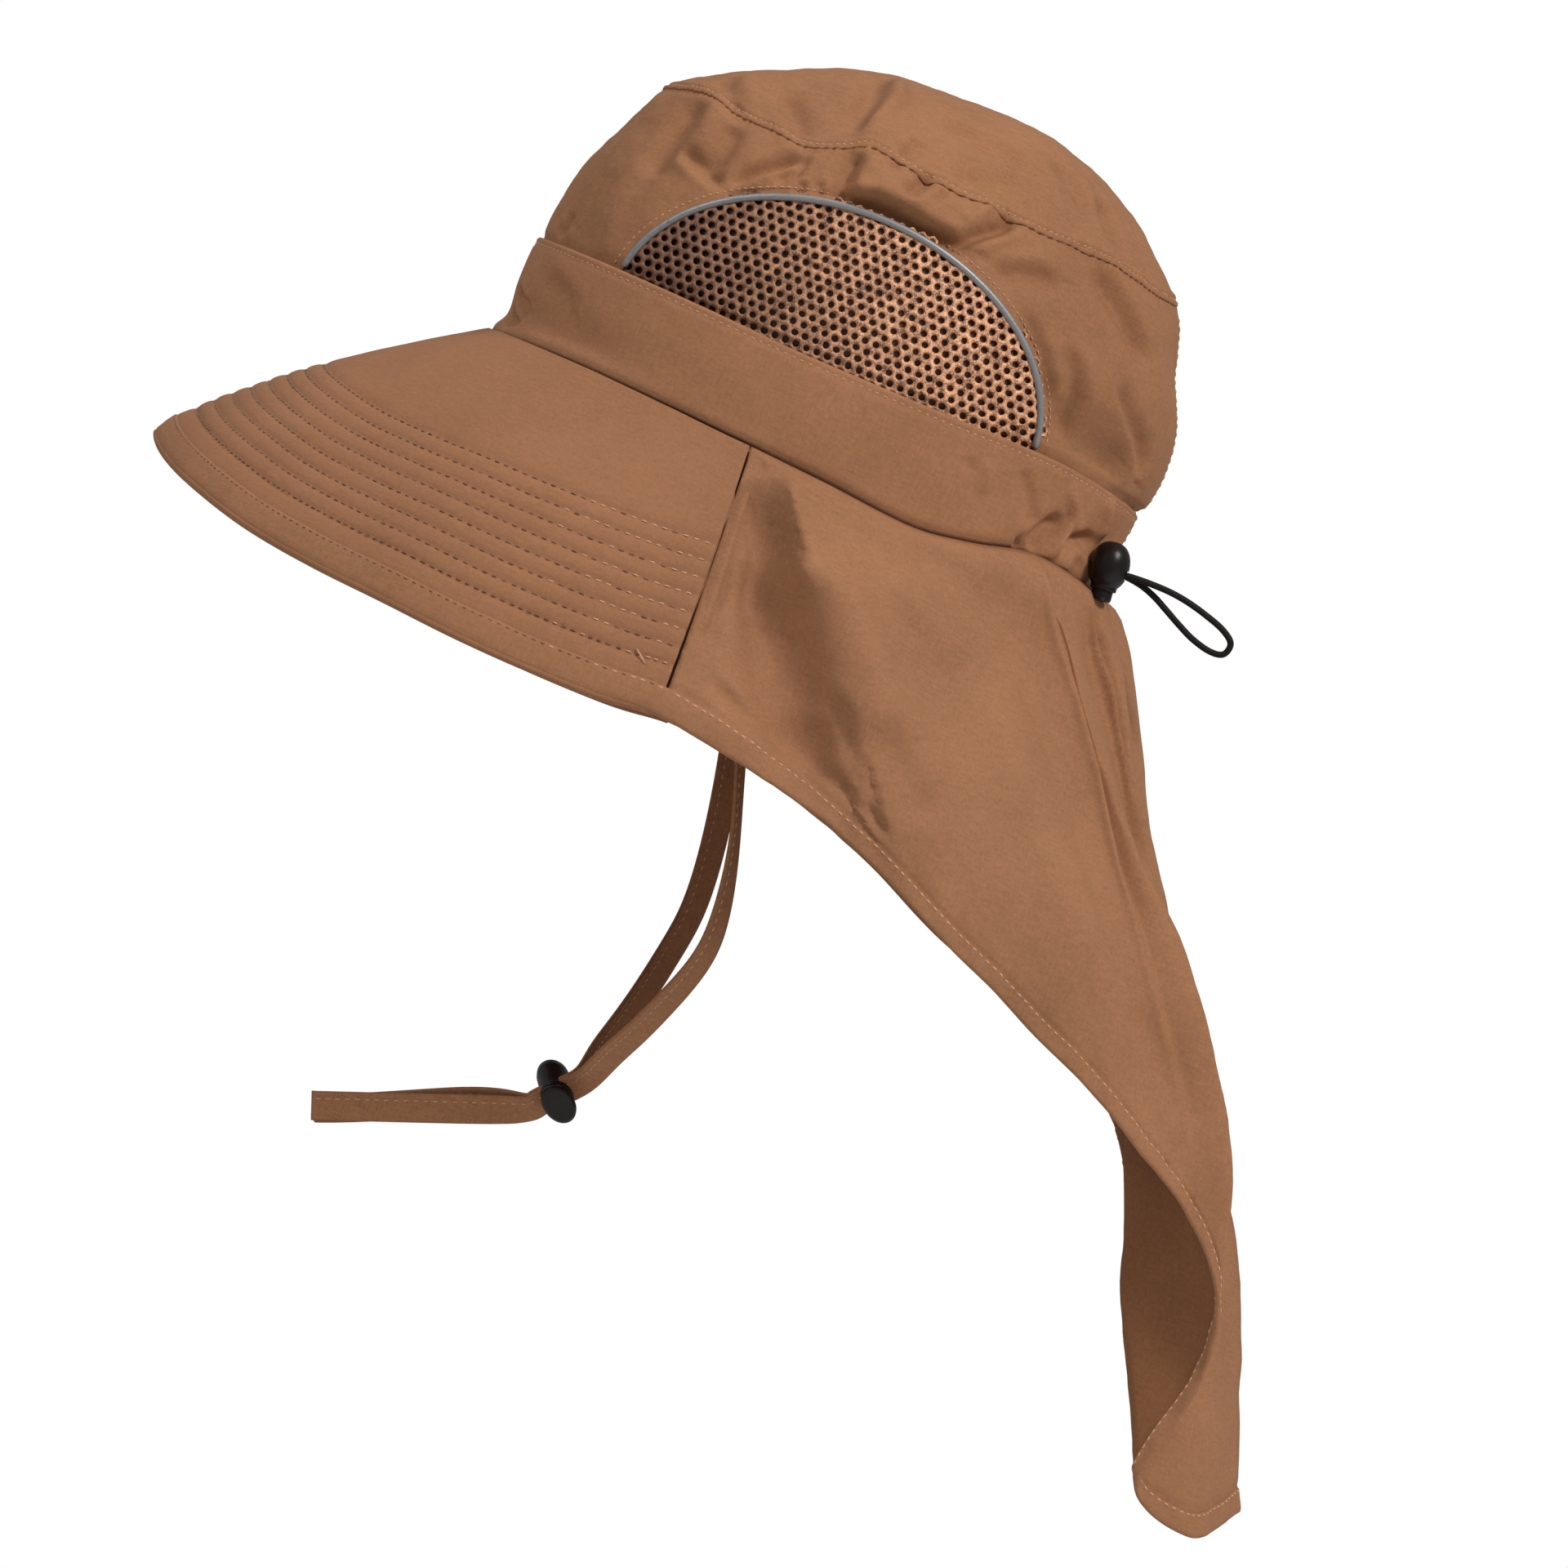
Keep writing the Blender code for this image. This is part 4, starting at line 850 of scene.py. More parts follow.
crownFolds = (
    (-1.3, 3.0, -0.9, 0.5, ((53, -34, 89), (61, -28, 83), (68, -21, 76))),
    (-1.5, 2.8, 1.2, 0.6, ((71, 3, 86), (71, -4, 83), (70, -12, 80), (69, -18, 76))),
    (-1.6, 6.0, 0.8, 0.2, ((44, -25, 105), (48, -31, 97), (51, -37, 88), (54, -41, 81))),
    (-1.2, 5.0, 0.6, 0.2, ((59, -15, 96), (62, -19, 88), (64, -23, 82))),
    (-0.9, 2.4, 0.6, 0.3, ((71, 6, 86), (73, 2, 80), (73, -5, 77))),
    (-1.9, 3.6, 1.6, 0.3, ((71, 22, 86), (74, 19, 81), (76, 17, 75), (78, 18, 72))),
    (-1.7, 3.2, 2.0, 0.4, ((76, 13, 74), (78, 18, 73), (78, 25, 72), (78, 32, 69), (78, 40, 64), (76, 49, 61),
                           (75, 54, 58))),
    (1.6, 4.5, 0.0, 0.1, ((75, 22, 78), (75, 30, 76), (74, 38, 71), (73, 47, 67))),
    (-1.3, 2.6, -1.0, 0.4, ((76, 34, 71), (74, 39, 75), (71, 43, 79))),
    (-1.5, 2.8, -1.4, 0.5, ((76, 50, 58), (73, 57, 61), (70, 63, 63), (66, 68, 66))),
    (1.3, 4.0, 0.0, 0.1, ((74, 50, 64), (71, 56, 67), (68, 61, 70))),
    (-1.8, 5.0, 1.2, 0.2, ((53, 91, 56), (51, 96, 50), (47, 100, 43), (41, 105, 34), (36, 109, 26))),
    (-1.3, 4.0, 1.0, 0.3, ((64, 83, 31), (62, 85, 23), (61, 86, 14), (61, 83, 7), (60, 82, 1))),
    (-1.9, 4.0, -1.2, 0.3, ((52, 97, 18), (44, 102, 7), (35, 106, -1), (29, 105, -9))),
    (-0.9, 3.5, 0.6, 0.2, ((71, 69, 42), (69, 75, 30), (66, 79, 18), (64, 80, 9))),
    (-0.9, 4.0, 0.9, 0.2, ((74, 59, 52), (69, 70, 53), (63, 81, 50))),
    (-0.8, 1.6, 0.3, 0.3, ((71, 32, 83), (74, 30, 79))),
    (-0.8, 1.6, 0.3, 0.3, ((72, 46, 74), (75, 43, 70))),
    (-0.8, 1.7, -0.3, 0.3, ((69, 59, 69), (72, 57, 65))),
    (-1.0, 3.0, 0.5, 0.2, ((32, -65, 72), (32, -68, 67), (28, -70, 63))),
    (-0.8, 2.2, 0.5, 0.3, ((73, -9, 74), (72, -14, 73), (71, -21, 71))),
    (-0.6, 11.0, 1.3, 0.0, ((74, 74, 26), (63, 87, 12), (50, 98, 0), (38, 107, -9))),
    (-0.9, 1.5, 0.4, 0.3, ((75, 4, 78), (76, 3, 74))),
    (-0.9, 1.5, 0.4, 0.3, ((76, 9, 78), (77, 9, 73))),
)


domeFolds = (
    (1.9, 4.5, 0.8, 0.4, ((68, 24, 89), (58, 28, 97), (46, 33, 104), (26, 34, 111))),
    (-1.6, 4.5, 0.5, 0.2, ((66, 17, 93), (55, 20, 101), (43, 24, 107), (24, 25, 113))),
    (-1.2, 4.0, 0.8, 0.2, ((66, 2, 93), (58, 0, 100), (46, -4, 106))),
    (-1.1, 4.5, -0.7, 0.2, ((56, -14, 102), (44, -17, 108), (30, -18, 112))),
    (-1.3, 5.0, 0.9, 0.2, ((34, 80, 87), (36, 85, 82), (37, 88, 78), (42, 91, 70))),
    (-1.4, 5.0, -0.9, 0.2, ((32, 93, 77), (38, 95, 69), (42, 97, 61))),
    (1.2, 6.0, 0.5, 0.1, ((65, 49, 82), (60, 59, 82), (54, 68, 80))),
    (-1.2, 6.0, 0.8, 0.1, ((46, 45, 99), (46, 61, 92), (47, 72, 85))),
    (-1.0, 3.0, 0.4, 0.3, ((70, 32, 85), (62, 38, 91))),
    (-0.9, 3.0, 0.4, 0.3, ((68, 50, 78), (60, 52, 86))),
    (-1.0, 7.0, 0.6, 0.1, ((10, -20, 115), (0, 10, 118), (-12, 40, 113))),
)


def reliefSkin(points, normals):
    folds = crownFolds + domeFolds
    near, far = crownLook["foldScales"]
    return (waves(points, crownLook["waves"]) + foldRelief(points, normals, folds, near)
            + foldRelief(points, normals, mirrored(folds, crownLook["foldShift"]), far))


def reliefCrown(across, up, points, normals):
    share = crownShare(up)
    angle = 360.0 * across
    turns, reach = crownLook["puckers"]["side"]
    puckered = pucker(points, angle * turns) * hill((1 - share) / reach)
    return (reliefSkin(points, normals) + felledSeam(angle, seamLook["crownDip"]) + puckered) * ease(share / 0.08)


def makeCrownSide():
    piece = layGrid("crownSideCloth", crownRows["columns"], crownRows["rows"], placeCrown, closed=True,
                    relief=reliefCrown)
    bm = bmesh.new()
    bm.from_mesh(piece.data)
    cos, sin = math.cos(worn["tilt"]), math.sin(worn["tilt"])

    def hatPlace(co):
        return co.y * cos - co.z * sin, co.y * sin + co.z * cos

    gone = []
    for face in bm.faces:
        y, z = hatPlace(face.calc_center_median())
        if ventRadius(np.array(y), np.array(z)) < 1.0 and z > ventFoot():
            gone.append(face)
    bmesh.ops.delete(bm, geom=gone, context="FACES")
    spring, _ = ventArch()
    for vert in bm.verts:
        if not vert.is_boundary:
            continue
        y, z = hatPlace(vert.co)
        radius = float(ventRadius(np.array(y), np.array(z)))
        if z > spring and 0.9 < radius < 1.1:
            y, z = np.array(y / radius), np.array(spring + (z - spring) / radius)
            vert.co = toRoom(crownAt(y, z, math.copysign(1.0, vert.co.x), 0.0))
    bm.to_mesh(piece.data)
    bm.free()
    dress(piece, "crown", "shadedInside")
    thicken(piece, crownLook["wall"])
    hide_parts("crown_side")


lapLook = {"reach": 0.0032, "lift": 0.0009, "rows": 0.09, "stitch": 0.0016, "roll": 0.0004, "dip": (0.00040, 0.012)}


def placeDome(across, up):
    # the top panel's turned edge lies over the side, down to the seam's stitches
    angle = 360.0 * across
    rows = lapLook["rows"]
    inward = np.maximum(up - rows, 0.0) / (1 - rows)
    below = np.maximum(rows - up, 0.0) / rows * lapLook["reach"]
    top = domePoint(angle, inward ** 1.05)
    share = 1 - below / (crownLook["seamHeight"] - bandUpper(angle))
    lap = crownPoint(angle, share, -lapLook["lift"])
    melt = ease((up - rows * 0.7) / (rows * 0.9))[..., None]
    lap = np.where((up > rows)[..., None], top, lap)
    return toRoom(lap * (1 - melt) + top * melt)


def reliefDome(across, up, points, normals):
    edge = ease(up / 0.02)
    stitchUp = lapLook["rows"] * (1 - lapLook["stitch"] / lapLook["reach"])
    dip = -crease(lapLook["dip"], up - stitchUp)
    turns, reach = crownLook["puckers"]["top"]
    puckered = pucker(points, across * turns) * hill(up / reach)
    return reliefSkin(points, normals) * ease((1 - up) / 0.05) + dip + puckered - lapLook["roll"] * (1 - edge)


def makeCrownTop():
    piece = layGrid("crownTopCloth", 400, 100, placeDome, closed=True, wall=crownLook["wall"], relief=reliefDome)
    dress(piece, "crown", "shadedInside")
    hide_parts("crown_top")


makeCrownSide()
makeCrownTop()
print("stage: crown")


def makeVent(side):
    name = "Left" if side > 0 else "Right"
    pitch, hole = ventLook["pitch"], ventLook["hole"]
    # one six-sided cell whose yarn rounds down into a hole, copied over a staggered lattice
    cell = bmesh.new()
    bmesh.ops.create_circle(cell, cap_ends=True, segments=12, radius=1.0)
    for vert in cell.verts:
        turn = math.degrees(math.atan2(vert.co.y, vert.co.x)) % 60.0
        vert.co.xy *= pitch / 2 if min(turn, 60.0 - turn) < 5 else pitch / math.sqrt(3)
    middle = cell.faces[:]
    for radius, depth in ventLook["yarn"]:
        bmesh.ops.inset_individual(cell, faces=middle, thickness=0.00005)
        for vert in middle[0].verts:
            vert.co = (*(vert.co.xy.normalized() * hole * radius), depth)
    bmesh.ops.delete(cell, geom=middle, context="FACES_ONLY")
    stamp = meshFrom("meshCell", cell)
    base = np.array([vert.co for vert in stamp.vertices])
    inner = (base[:, 2] > 0)[:, None]
    low, high = ventFoot() + clearance, crownLook["seamHeight"] - ventLook["topMargin"] + pitch
    bm = bmesh.new()
    rowCount = int((high - low) / (pitch * math.sqrt(3) / 2)) + 1
    for row in range(rowCount):
        z = low + row * pitch * math.sqrt(3) / 2
        y = -ventLook["halfLength"] - pitch + (row % 2) * pitch / 2
        while y < ventLook["halfLength"] + pitch:
            if ventRadius(np.array(y), np.array(z)) < 1.02:
                jitter = np.array((dice.uniform(-1, 1), dice.uniform(-1, 1), 0.0)) * 0.00009
                size = np.array((dice.uniform(0.92, 1.10), dice.uniform(0.88, 1.06), 1.0))
                shape = np.where(inner, base * size + jitter, base)
                stamp.vertices.foreach_set("co", (shape + (y, z, 0.0)).astype(np.float32).ravel())
                bm.from_mesh(stamp)
            y += pitch
    bpy.data.meshes.remove(stamp)
    bmesh.ops.remove_doubles(bm, verts=bm.verts, dist=2e-5)
    coords = np.array([vert.co for vert in bm.verts])
    placed = toRoom(crownAt(coords[:, 0], coords[:, 1], 1.0, 0.0))
    inward = unit(toRoom(crownAt(coords[:, 0], coords[:, 1], 1.0, 0.001)) - placed)
    wave = 0.0004 * ripples(placed, 45.0, 2.0)
    points = placed + inward * (coords[:, 2] + ventLook["sink"] - wave)[:, None]
    points[:, 0] *= side
    for vert, point in zip(bm.verts, points):
        vert.co = point
    if side < 0:
        bmesh.ops.reverse_faces(bm, faces=bm.faces)
    piece = addPiece("ventMesh" + name, bm, finish=finishes["mesh"])
    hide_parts("vent_mesh_left" if side > 0 else "vent_mesh_right")

    def placeBacking(across, up):
        turn = 180.0 * (across if side > 0 else 1 - across)
        y, top = archPoint(turn, -0.001)
        z = low + (top - low) * up
        return toRoom(crownAt(y, z, 1.0, 0.0024)) * np.array((side, 1, 1))

    # a plain back sheet behind the holes; its dark colour is painted shade for what the holes show
    shadedBacking = layGrid("ventBacking" + name, 60, 30, placeBacking, wall=0.0003)
    dress(shadedBacking, "shadedBacking")

    turns = np.linspace(0, 180, 361)
    y, z = archPoint(turns)
    clear = z - bandUpper(crownAngle(y)) > ventLook["piping"] / 2 + clearance
    line = toRoom(crownAt(y[clear], z[clear], 1.0, crownLook["wall"] / 2)) * np.array((side, 1, 1))
    piping = sweep("ventPiping" + name, line, ventLook["piping"] / 2, 16, "hat", finishes["piping"])
    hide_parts("vent_piping_left" if side > 0 else "vent_piping_right")


makeVent(1)
makeVent(-1)
print("stage: vents")


def placeBand(across, up):
    return toRoom(bandPoint(360.0 * across, up))


bandFolds = (
    (-1.6, 2.6, 1.0, 0.4, ((17, -83, 50), (23, -82, 47), (32, -79, 43))),
    (-1.4, 2.2, 0.8, 0.4, ((14, -85, 44), (20, -84, 41), (28, -81, 38))),
    (-0.9, 4.0, 0.6, 0.2, ((36, -73, 54), (48, -68, 48), (53, -65, 42))),
    (1.9, 2.6, 0.6, 0.7, ((53, 83, -11), (50, 84, -18), (48, 83, -22), (49, 80, -26), (50, 78, -30), (52, 77, -33))),
    (-2.6, 3.4, 1.0, 0.2, ((58, 71, -29), (55, 75, -25), (53, 78, -22), (51, 81, -20))),
    (1.4, 2.0, 0.0, 0.6, ((37, 95, -14), (34, 95, -21), (32, 93, -27))),
    (-2.2, 2.4, 0.8, 0.3, ((46, 82, -28), (42, 86, -26), (38, 89, -26), (34, 91, -27))),
    (1.1, 2.2, 0.0, 0.4, ((41, 85, -29), (36, 87, -33), (30, 90, -37))),
    (-2.4, 2.6, 0.0, 0.3, ((61, 67, -28), (58, 70, -30))),
    (-0.7, 2.4, 0.3, 0.2, ((65, 69, -7), (62, 71, -14))),
    (-0.8, 2.6, 0.3, 0.2, ((62, 71, -12), (60, 72, -18), (57, 73, -23))),
    (0.8, 1.8, 0.0, 0.4, ((70, 57, -4), (69, 57, -9), (68, 56, -14))),
    (-0.7, 1.6, 0.0, 0.3, ((72, 52, -4), (72, 52, -8))),
)


def reliefBand(across, up, points, normals):
    angle = 360.0 * across
    stitchLine = 1 - bandLook["stitchDrop"] / bandLook["height"]
    gather = bandLook["gathers"]
    back = ease((fromFront(angle) - gather["start"]) / gather["fade"])
    phase = np.radians(angle) * gather["turns"] + 6.0 * ripples(points, 22.0, 2.0, 0.0)
    gathers = gather["height"] * np.sin(phase) * back
    creases = bandLook["creases"]
    return (waves(points, bandLook["waves"]) * ease(up / 0.2) - crease(creases["stitch"], up - stitchLine)
            - crease(creases["lower"], up) - crease(creases["upper"], 1 - up) + gathers * (0.45 + 0.55 * (1 - up))
            + felledSeam(angle, seamLook["bandDip"])
            + foldRelief(points, normals, bandFolds, 1.5) + foldRelief(points, normals, mirrored(bandFolds, 2.0), 1.1))


def makeBand():
    piece = layGrid("bandCloth", 460, 36, placeBand, closed=True, wall=bandLook["wall"], relief=reliefBand)
    dress(piece, "band", "shadedInside")
    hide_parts("band")


tapeLook = {"below": -0.09, "above": 0.16, "wall": 0.0004}  # shares of the band's height


def makeSeamTape():
    # the turned-in seam allowance, which closes the joint of band, visor and flap from inside
    def share(up):
        return tapeLook["below"] + (tapeLook["above"] - tapeLook["below"]) * up

    def place(across, up):
        return toRoom(bandPoint(360.0 * across, share(up), bandLook["wall"] + clearance))

    def relief(across, up, points, normals):
        at = np.maximum(share(up), 0.0)
        return reliefBand(across, at, points, normals) + crease(bandLook["creases"]["lower"], at)

    piece = layGrid("seamTape", 460, 8, place, closed=True, wall=tapeLook["wall"], relief=relief)
    dress(piece, "band")


makeBand()
makeSeamTape()
print("stage: band")


def visorAngle(across):
    return (visorLook["seamAngle"] - visorLook["seamGap"]) * (1 - 2 * across)


def drawnIn(across, width):
    # the edge is a little shorter beside each side seam
    return 1 - 0.014 * (hill(across / width) + hill((1 - across) / width))


def visorLengths(angle):
    way = fromFront(angle) / visorLook["seamAngle"]
    return visorLook["length"] * readCurve(visorLook["sections"], way, 1)


def visorRowsAt():
    rows = [visorLook["firstRow"] + visorLook["rowPitch"] * index for index in range(visorLook["rows"])]
    return [visorLook["hemRow"]] + rows


def visorSection(up):
    # one trip round the visor's cross-section: over the top, round the edge and back below
    top = visorLook["topShare"]
    share = np.where(up < top, up / top, np.where(up > 1 - top, (1 - up) / top, 1.0))
    turn = np.clip((up - top) / (1 - 2 * top), 0.0, 1.0) * math.pi
    return share, turn


def placeVisor(across, up):
    angle = visorAngle(across)
    share, turn = visorSection(up)
    share = share * drawnIn(across, 0.03)
    half = visorLook["wall"] / 2
    base = visorPoint(angle, share)
    inner = visorPoint(angle, share - 0.004)
    side = visorPoint(angle + 0.3, share) - visorPoint(angle - 0.3, share)
    out = unit(base - inner)
    normal = unit(np.cross(side, out))
    normal = normal * np.sign(normal[..., 2:3])
    return toRoom(base - normal * (half * (1 - np.cos(turn)))[..., None] + out * (half * np.sin(turn))[..., None])


def reliefVisor(across, up, points, normals):
    share, turn = visorSection(up)
    away = visorLengths(visorAngle(across)) * (1 - share)
    first, pitch = visorLook["firstRow"], visorLook["rowPitch"]
    last = first + pitch * (visorLook["rows"] - 1)
    wave = np.abs(np.sin(math.pi * (away - first) / pitch)) ** visorLook["round"]
    edge, inside = visorLook["fades"]
    flat = np.where(away < first, 1 - hill((away - first) / edge), 1 - hill((away - last) / inside))
    puff = np.where((away > first) & (away < last), wave, flat)
    dip = np.zeros_like(away)
    for row in visorRowsAt():
        dip += hill((away - row) / visorLook["groove"])
    trip = np.interp(across, visorStations, visorTrips)
    pinch = 0.5 + 0.5 * np.cos(math.tau * trip / stitchLook["pitch"])
    soft = waves(points, visorLook["waves"])
    face = np.where((turn > 0) & (turn < math.pi), 0.0, 1.0)
    return (soft + visorLook["puff"] * (puff - 1) - (visorLook["dip"] + visorLook["pinch"] * pinch) * dip) * face


stitchLook = {"pitch": 0.0027, "visorPitch": 0.0033, "strapPitch": 0.0030, "thread": 0.00050}
visorStations = np.linspace(0, 1, 121)
visorEdgeLine = visorPoint(visorAngle(visorStations), np.ones(121))
visorTrips = tripsAlong(visorEdgeLine)


def makeVisor():
    piece = layGrid("visorCloth", 300, 270, placeVisor, closed=True, relief=reliefVisor)
    piece.data.materials.append(finishes["visor"])
    faceOut(piece)
    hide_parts("visor")


makeVisor()
print("stage: visor")


flapCrowd = {"reach": 0.013, "share": 0.80, "centre": 0.40, "amount": 0.55}


def flapAngle(across):
    start = visorLook["seamAngle"] + visorLook["seamGap"]
    side = np.sign(across - 0.5)
    u = np.abs(2 * across - 1)
    dense = flapCrowd["centre"] * math.tau  # columns stand closer together where the pleats are
    warped = u - flapCrowd["amount"] / math.tau * (np.sin(u * math.tau - dense) + math.sin(dense))
    return 180.0 - side * warped * (180.0 - start)


flapStations = np.linspace(0, 1, 201)
flapTrips = []
for station in flapStations:
    line = flapPoint(np.full(41, flapAngle(station)), np.linspace(0, 1, 41))
    flapTrips.append(np.sum(np.linalg.norm(np.diff(line, axis=0), axis=1)))
flapTrips = np.array(flapTrips)
flapHemLine = flapPoint(flapAngle(flapStations), np.ones(201))
flapWalks = tripsAlong(flapHemLine)


def flapShare(across, up):
    # rows crowd together over the hem, at the same distances from the edge all along
    length = np.interp(across, flapStations, flapTrips)
    reach, crowded = flapCrowd["reach"], flapCrowd["share"]
    away = np.where(up > crowded, (1 - up) / (1 - crowded) * reach, 0.0)
    share = np.where(up > crowded, 1 - away / length, up / crowded * (1 - reach / length))
    return share, (1 - share) * length


def placeFlap(across, up):
    share, _ = flapShare(across, up)
    return toRoom(flapPoint(flapAngle(across), share * drawnIn(across, 0.012)))


flapFolds = (
    (0.0, 9.0, 5.5, 0.0, ((88, -7, -10), (90, -5, -22), (95, -2, -38), (99, 0, -49))),
    (0.0, 13.0, 6.0, 0.0, ((93, -4, -34), (103, 0, -59), (109, 4, -79), (111, 10, -93), (112, 16, -103))),
    (0.0, 13.0, 6.5, 0.0, ((97, 6, -40), (103, 11, -59), (109, 18, -79), (112, 22, -92))),
    (-1.5, 2.6, 1.0, 0.4, ((108, 13, -74), (110, 17, -84), (112, 20, -96))),
    (6.5, 15.0, 1.0, 2.0, ((58, 70, -27), (60, 73, -34), (67, 79, -56), (66, 85, -74), (67, 91, -96), (71, 97, -125),
                           (73, 104, -149))),
    (2.6, 13.0, 1.0, 2.0, ((67, 91, -96), (71, 97, -125), (73, 104, -149), (73, 110, -171), (70, 118, -203))),
    (5.0, 9.0, 1.0, 2.0, ((43, 86, -31), (41, 92, -46), (41, 95, -59), (40, 99, -72), (41, 104, -91), (43, 109, -108))),
    (-2.4, 5.0, 2.6, 0.2, ((41, 92, -46), (41, 97, -64), (40, 102, -84), (43, 108, -106), (50, 113, -131))),
    (1.6, 3.0, 0.0, 0.8, ((22, 128, -262), (19, 130, -285), (18, 130, -314))),
    (-1.4, 2.2, 0.9, 0.4, ((112, 15, -99), (112, 18, -104), (112, 19, -108))),
    (-1.4, 2.2, 0.9, 0.4, ((113, 23, -106), (113, 26, -111), (113, 28, -115))),
    (1.5, 8.0, 0.9, 0.1, ((94, 23, -40), (92, 33, -48), (90, 43, -60), (90, 48, -69))),
    (-1.4, 7.0, 0.9, 0.1, ((107, 27, -82), (109, 33, -94), (108, 43, -110))),
    (1.8, 10.0, 0.8, 0.1, ((87, 53, -72), (90, 65, -101), (92, 76, -129), (90, 86, -156))),
    (-1.4, 7.0, 0.8, 0.1, ((79, 35, -27), (77, 51, -38), (71, 63, -52))),
    (-1.5, 7.0, -0.9, 0.1, ((78, 99, -166), (74, 109, -185), (70, 116, -204))),
    (-1.5, 5.0, 0.9, 0.2, ((97, -15, -25), (106, -19, -44), (114, -23, -63))),
    (-1.5, 3.0, 0.8, 0.3, ((116, -21, -70), (116, -16, -75), (115, -10, -82))),
)


def reliefFlap(across, up, points, normals):
    share, away = flapShare(across, up)
    fold = flapLook["hem"]
    hem = -0.0003 * hill((away - fold) / 0.0012)
    trip = np.interp(across, flapStations, flapWalks)
    phase = trip * 420.0 + 4 * ripples(points, 25.0, 3.0, 0.0)
    puckered = 0.0003 * np.sin(phase) * hill((away - fold * 0.8) / 0.006)
    start = ease(share / 0.06)
    folds = foldRelief(points, normals, flapFolds) + foldRelief(points, normals, mirrored(flapFolds, 1.0), 0.5)
    folds *= ease((away - 0.002) / 0.014)
    return (waves(points, flapLook["waves"]) + folds) * start + hem + puckered


def makeFlap():
    piece = layGrid("neckFlapCloth", 470, 100, placeFlap, relief=reliefFlap, wall=flapLook["wall"])
    dress(piece, "flap", "shadedInside")
    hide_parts("neck_flap")
    return piece


sideTapeLook = {"degrees": 4.4, "depth": 0.0031, "wall": 0.0004, "start": 0.01, "end": 0.955}


def makeSideTape(side):
    # the allowance under the seam of visor and flap, which closes it from inside
    def place(across, up):
        angle = visorLook["seamAngle"] + sideTapeLook["degrees"] * (across - 0.5)
        start, end = sideTapeLook["start"], sideTapeLook["end"]
        return toRoom(visorPoint(angle if side > 0 else 360.0 - angle, start + (end - start) * up))

    def relief(across, up, points, normals):
        return -sideTapeLook["depth"] * np.sign(normals[:, 2])

    name = "sideTape" + ("Left" if side > 0 else "Right")
    piece = layGrid(name, 6, 60, place, wall=sideTapeLook["wall"], relief=relief)
    dress(piece, "flap")


flapPiece = makeFlap()
makeSideTape(1)
makeSideTape(-1)
print("stage: neck flap")


strapLook = {
    "width": 0.0090, "wall": 0.0010, "drop": 0.1953, "forward": 0.0716, "tail": 0.0740, "tuck": 0.0060,
    "seat": 0.0008, "lockDepth": 0.0100, "lockAxis": (-0.83, -0.14, 0.53), "lockThrough": (-0.12, -0.87, -0.42),
    "left": ((0.200, 0.170, 0.895, -40), (0.480, 0.210, 0.835, -80), (0.605, 0.225, 0.775, -76),
             (0.723, 0.292, 0.705, -56), (0.785, 0.360, 0.635, -48), (0.849, 0.520, 0.494, -42),
             (0.905, 0.665, 0.330, -38), (0.935, 0.770, 0.200, -36)),
    "right": ((0.200, 0.175, 0.895, -15), (0.480, 0.250, 0.830, -33), (0.682, 0.380, 0.730, -33),
              (0.746, 0.465, 0.660, -33), (0.796, 0.548, 0.585, -33), (0.851, 0.640, 0.450, -33),
              (0.908, 0.752, 0.285, -33), (0.938, 0.820, 0.175, -33)),
    "ease": {"sewn": 26, "sewnFade": 12.0, "slot": 4, "slotFade": 10.0, "passes": 60},  # in stations
    "underTail": {"at": 0.66, "rise": 0.0021, "riseWidth": 0.16, "aside": 0.0012, "asideWidth": 0.2, "sink": 0.0008},
    "stitchAt": -0.24, "tailRows": ((0.26, 0.52, -12), (0.60, 0.48, 0), (1.00, 0.40, 0)),
}


def lockFrame(origin, axis, through):
    up = Vector(axis).normalized()
    along = Vector(through)
    along = (along - along.dot(up) * up).normalized()
    return Matrix.Translation(origin) @ Matrix((up.cross(along), -along, up)).transposed().to_4x4()


def chinLockFrame():
    slotSpot = Vector((0.0, -strapLook["forward"], -strapLook["drop"]))
    return lockFrame(slotSpot, strapLook["lockAxis"], strapLook["lockThrough"])


def armRows(rows, side):
    seats = ((bandLook["wall"], strapLook["tuck"]), (visorLook["wall"], 0.0), (visorLook["wall"], -strapLook["tuck"]))
    result = []
    for wall, height in seats:
        inset = wall + strapLook["seat"] + strapLook["wall"] / 2
        spot = bandPoint(np.array(visorLook["seamAngle"]), np.array(0.0), inset)
        spot = toRoom(spot * np.array((side, 1, 1)) + np.array((0, 0, height)))
        result.append((*spot, 0.0))
    for down, forward, out, turn in rows:
        across = side * out * worn["halfWidth"]
        result.append((across, -forward * strapLook["forward"], -down * strapLook["drop"], turn))
    return result


def evenOut(path):
    # takes the last corners out of an arm, but leaves it where it is sewn in and where it enters the lock
    index, look = np.arange(len(path)), strapLook["ease"]
    hold = ease((index - look["sewn"]) / look["sewnFade"])
    hold = (hold * ease((len(path) - look["slot"] - index) / look["slotFade"]))[:, None]
    for _ in range(look["passes"]):
        middle = (path[:-2] + path[1:-1] * 2 + path[2:]) / 4
        path = path.copy()
        path[1:-1] += (middle - path[1:-1]) * hold[1:-1]
    return path


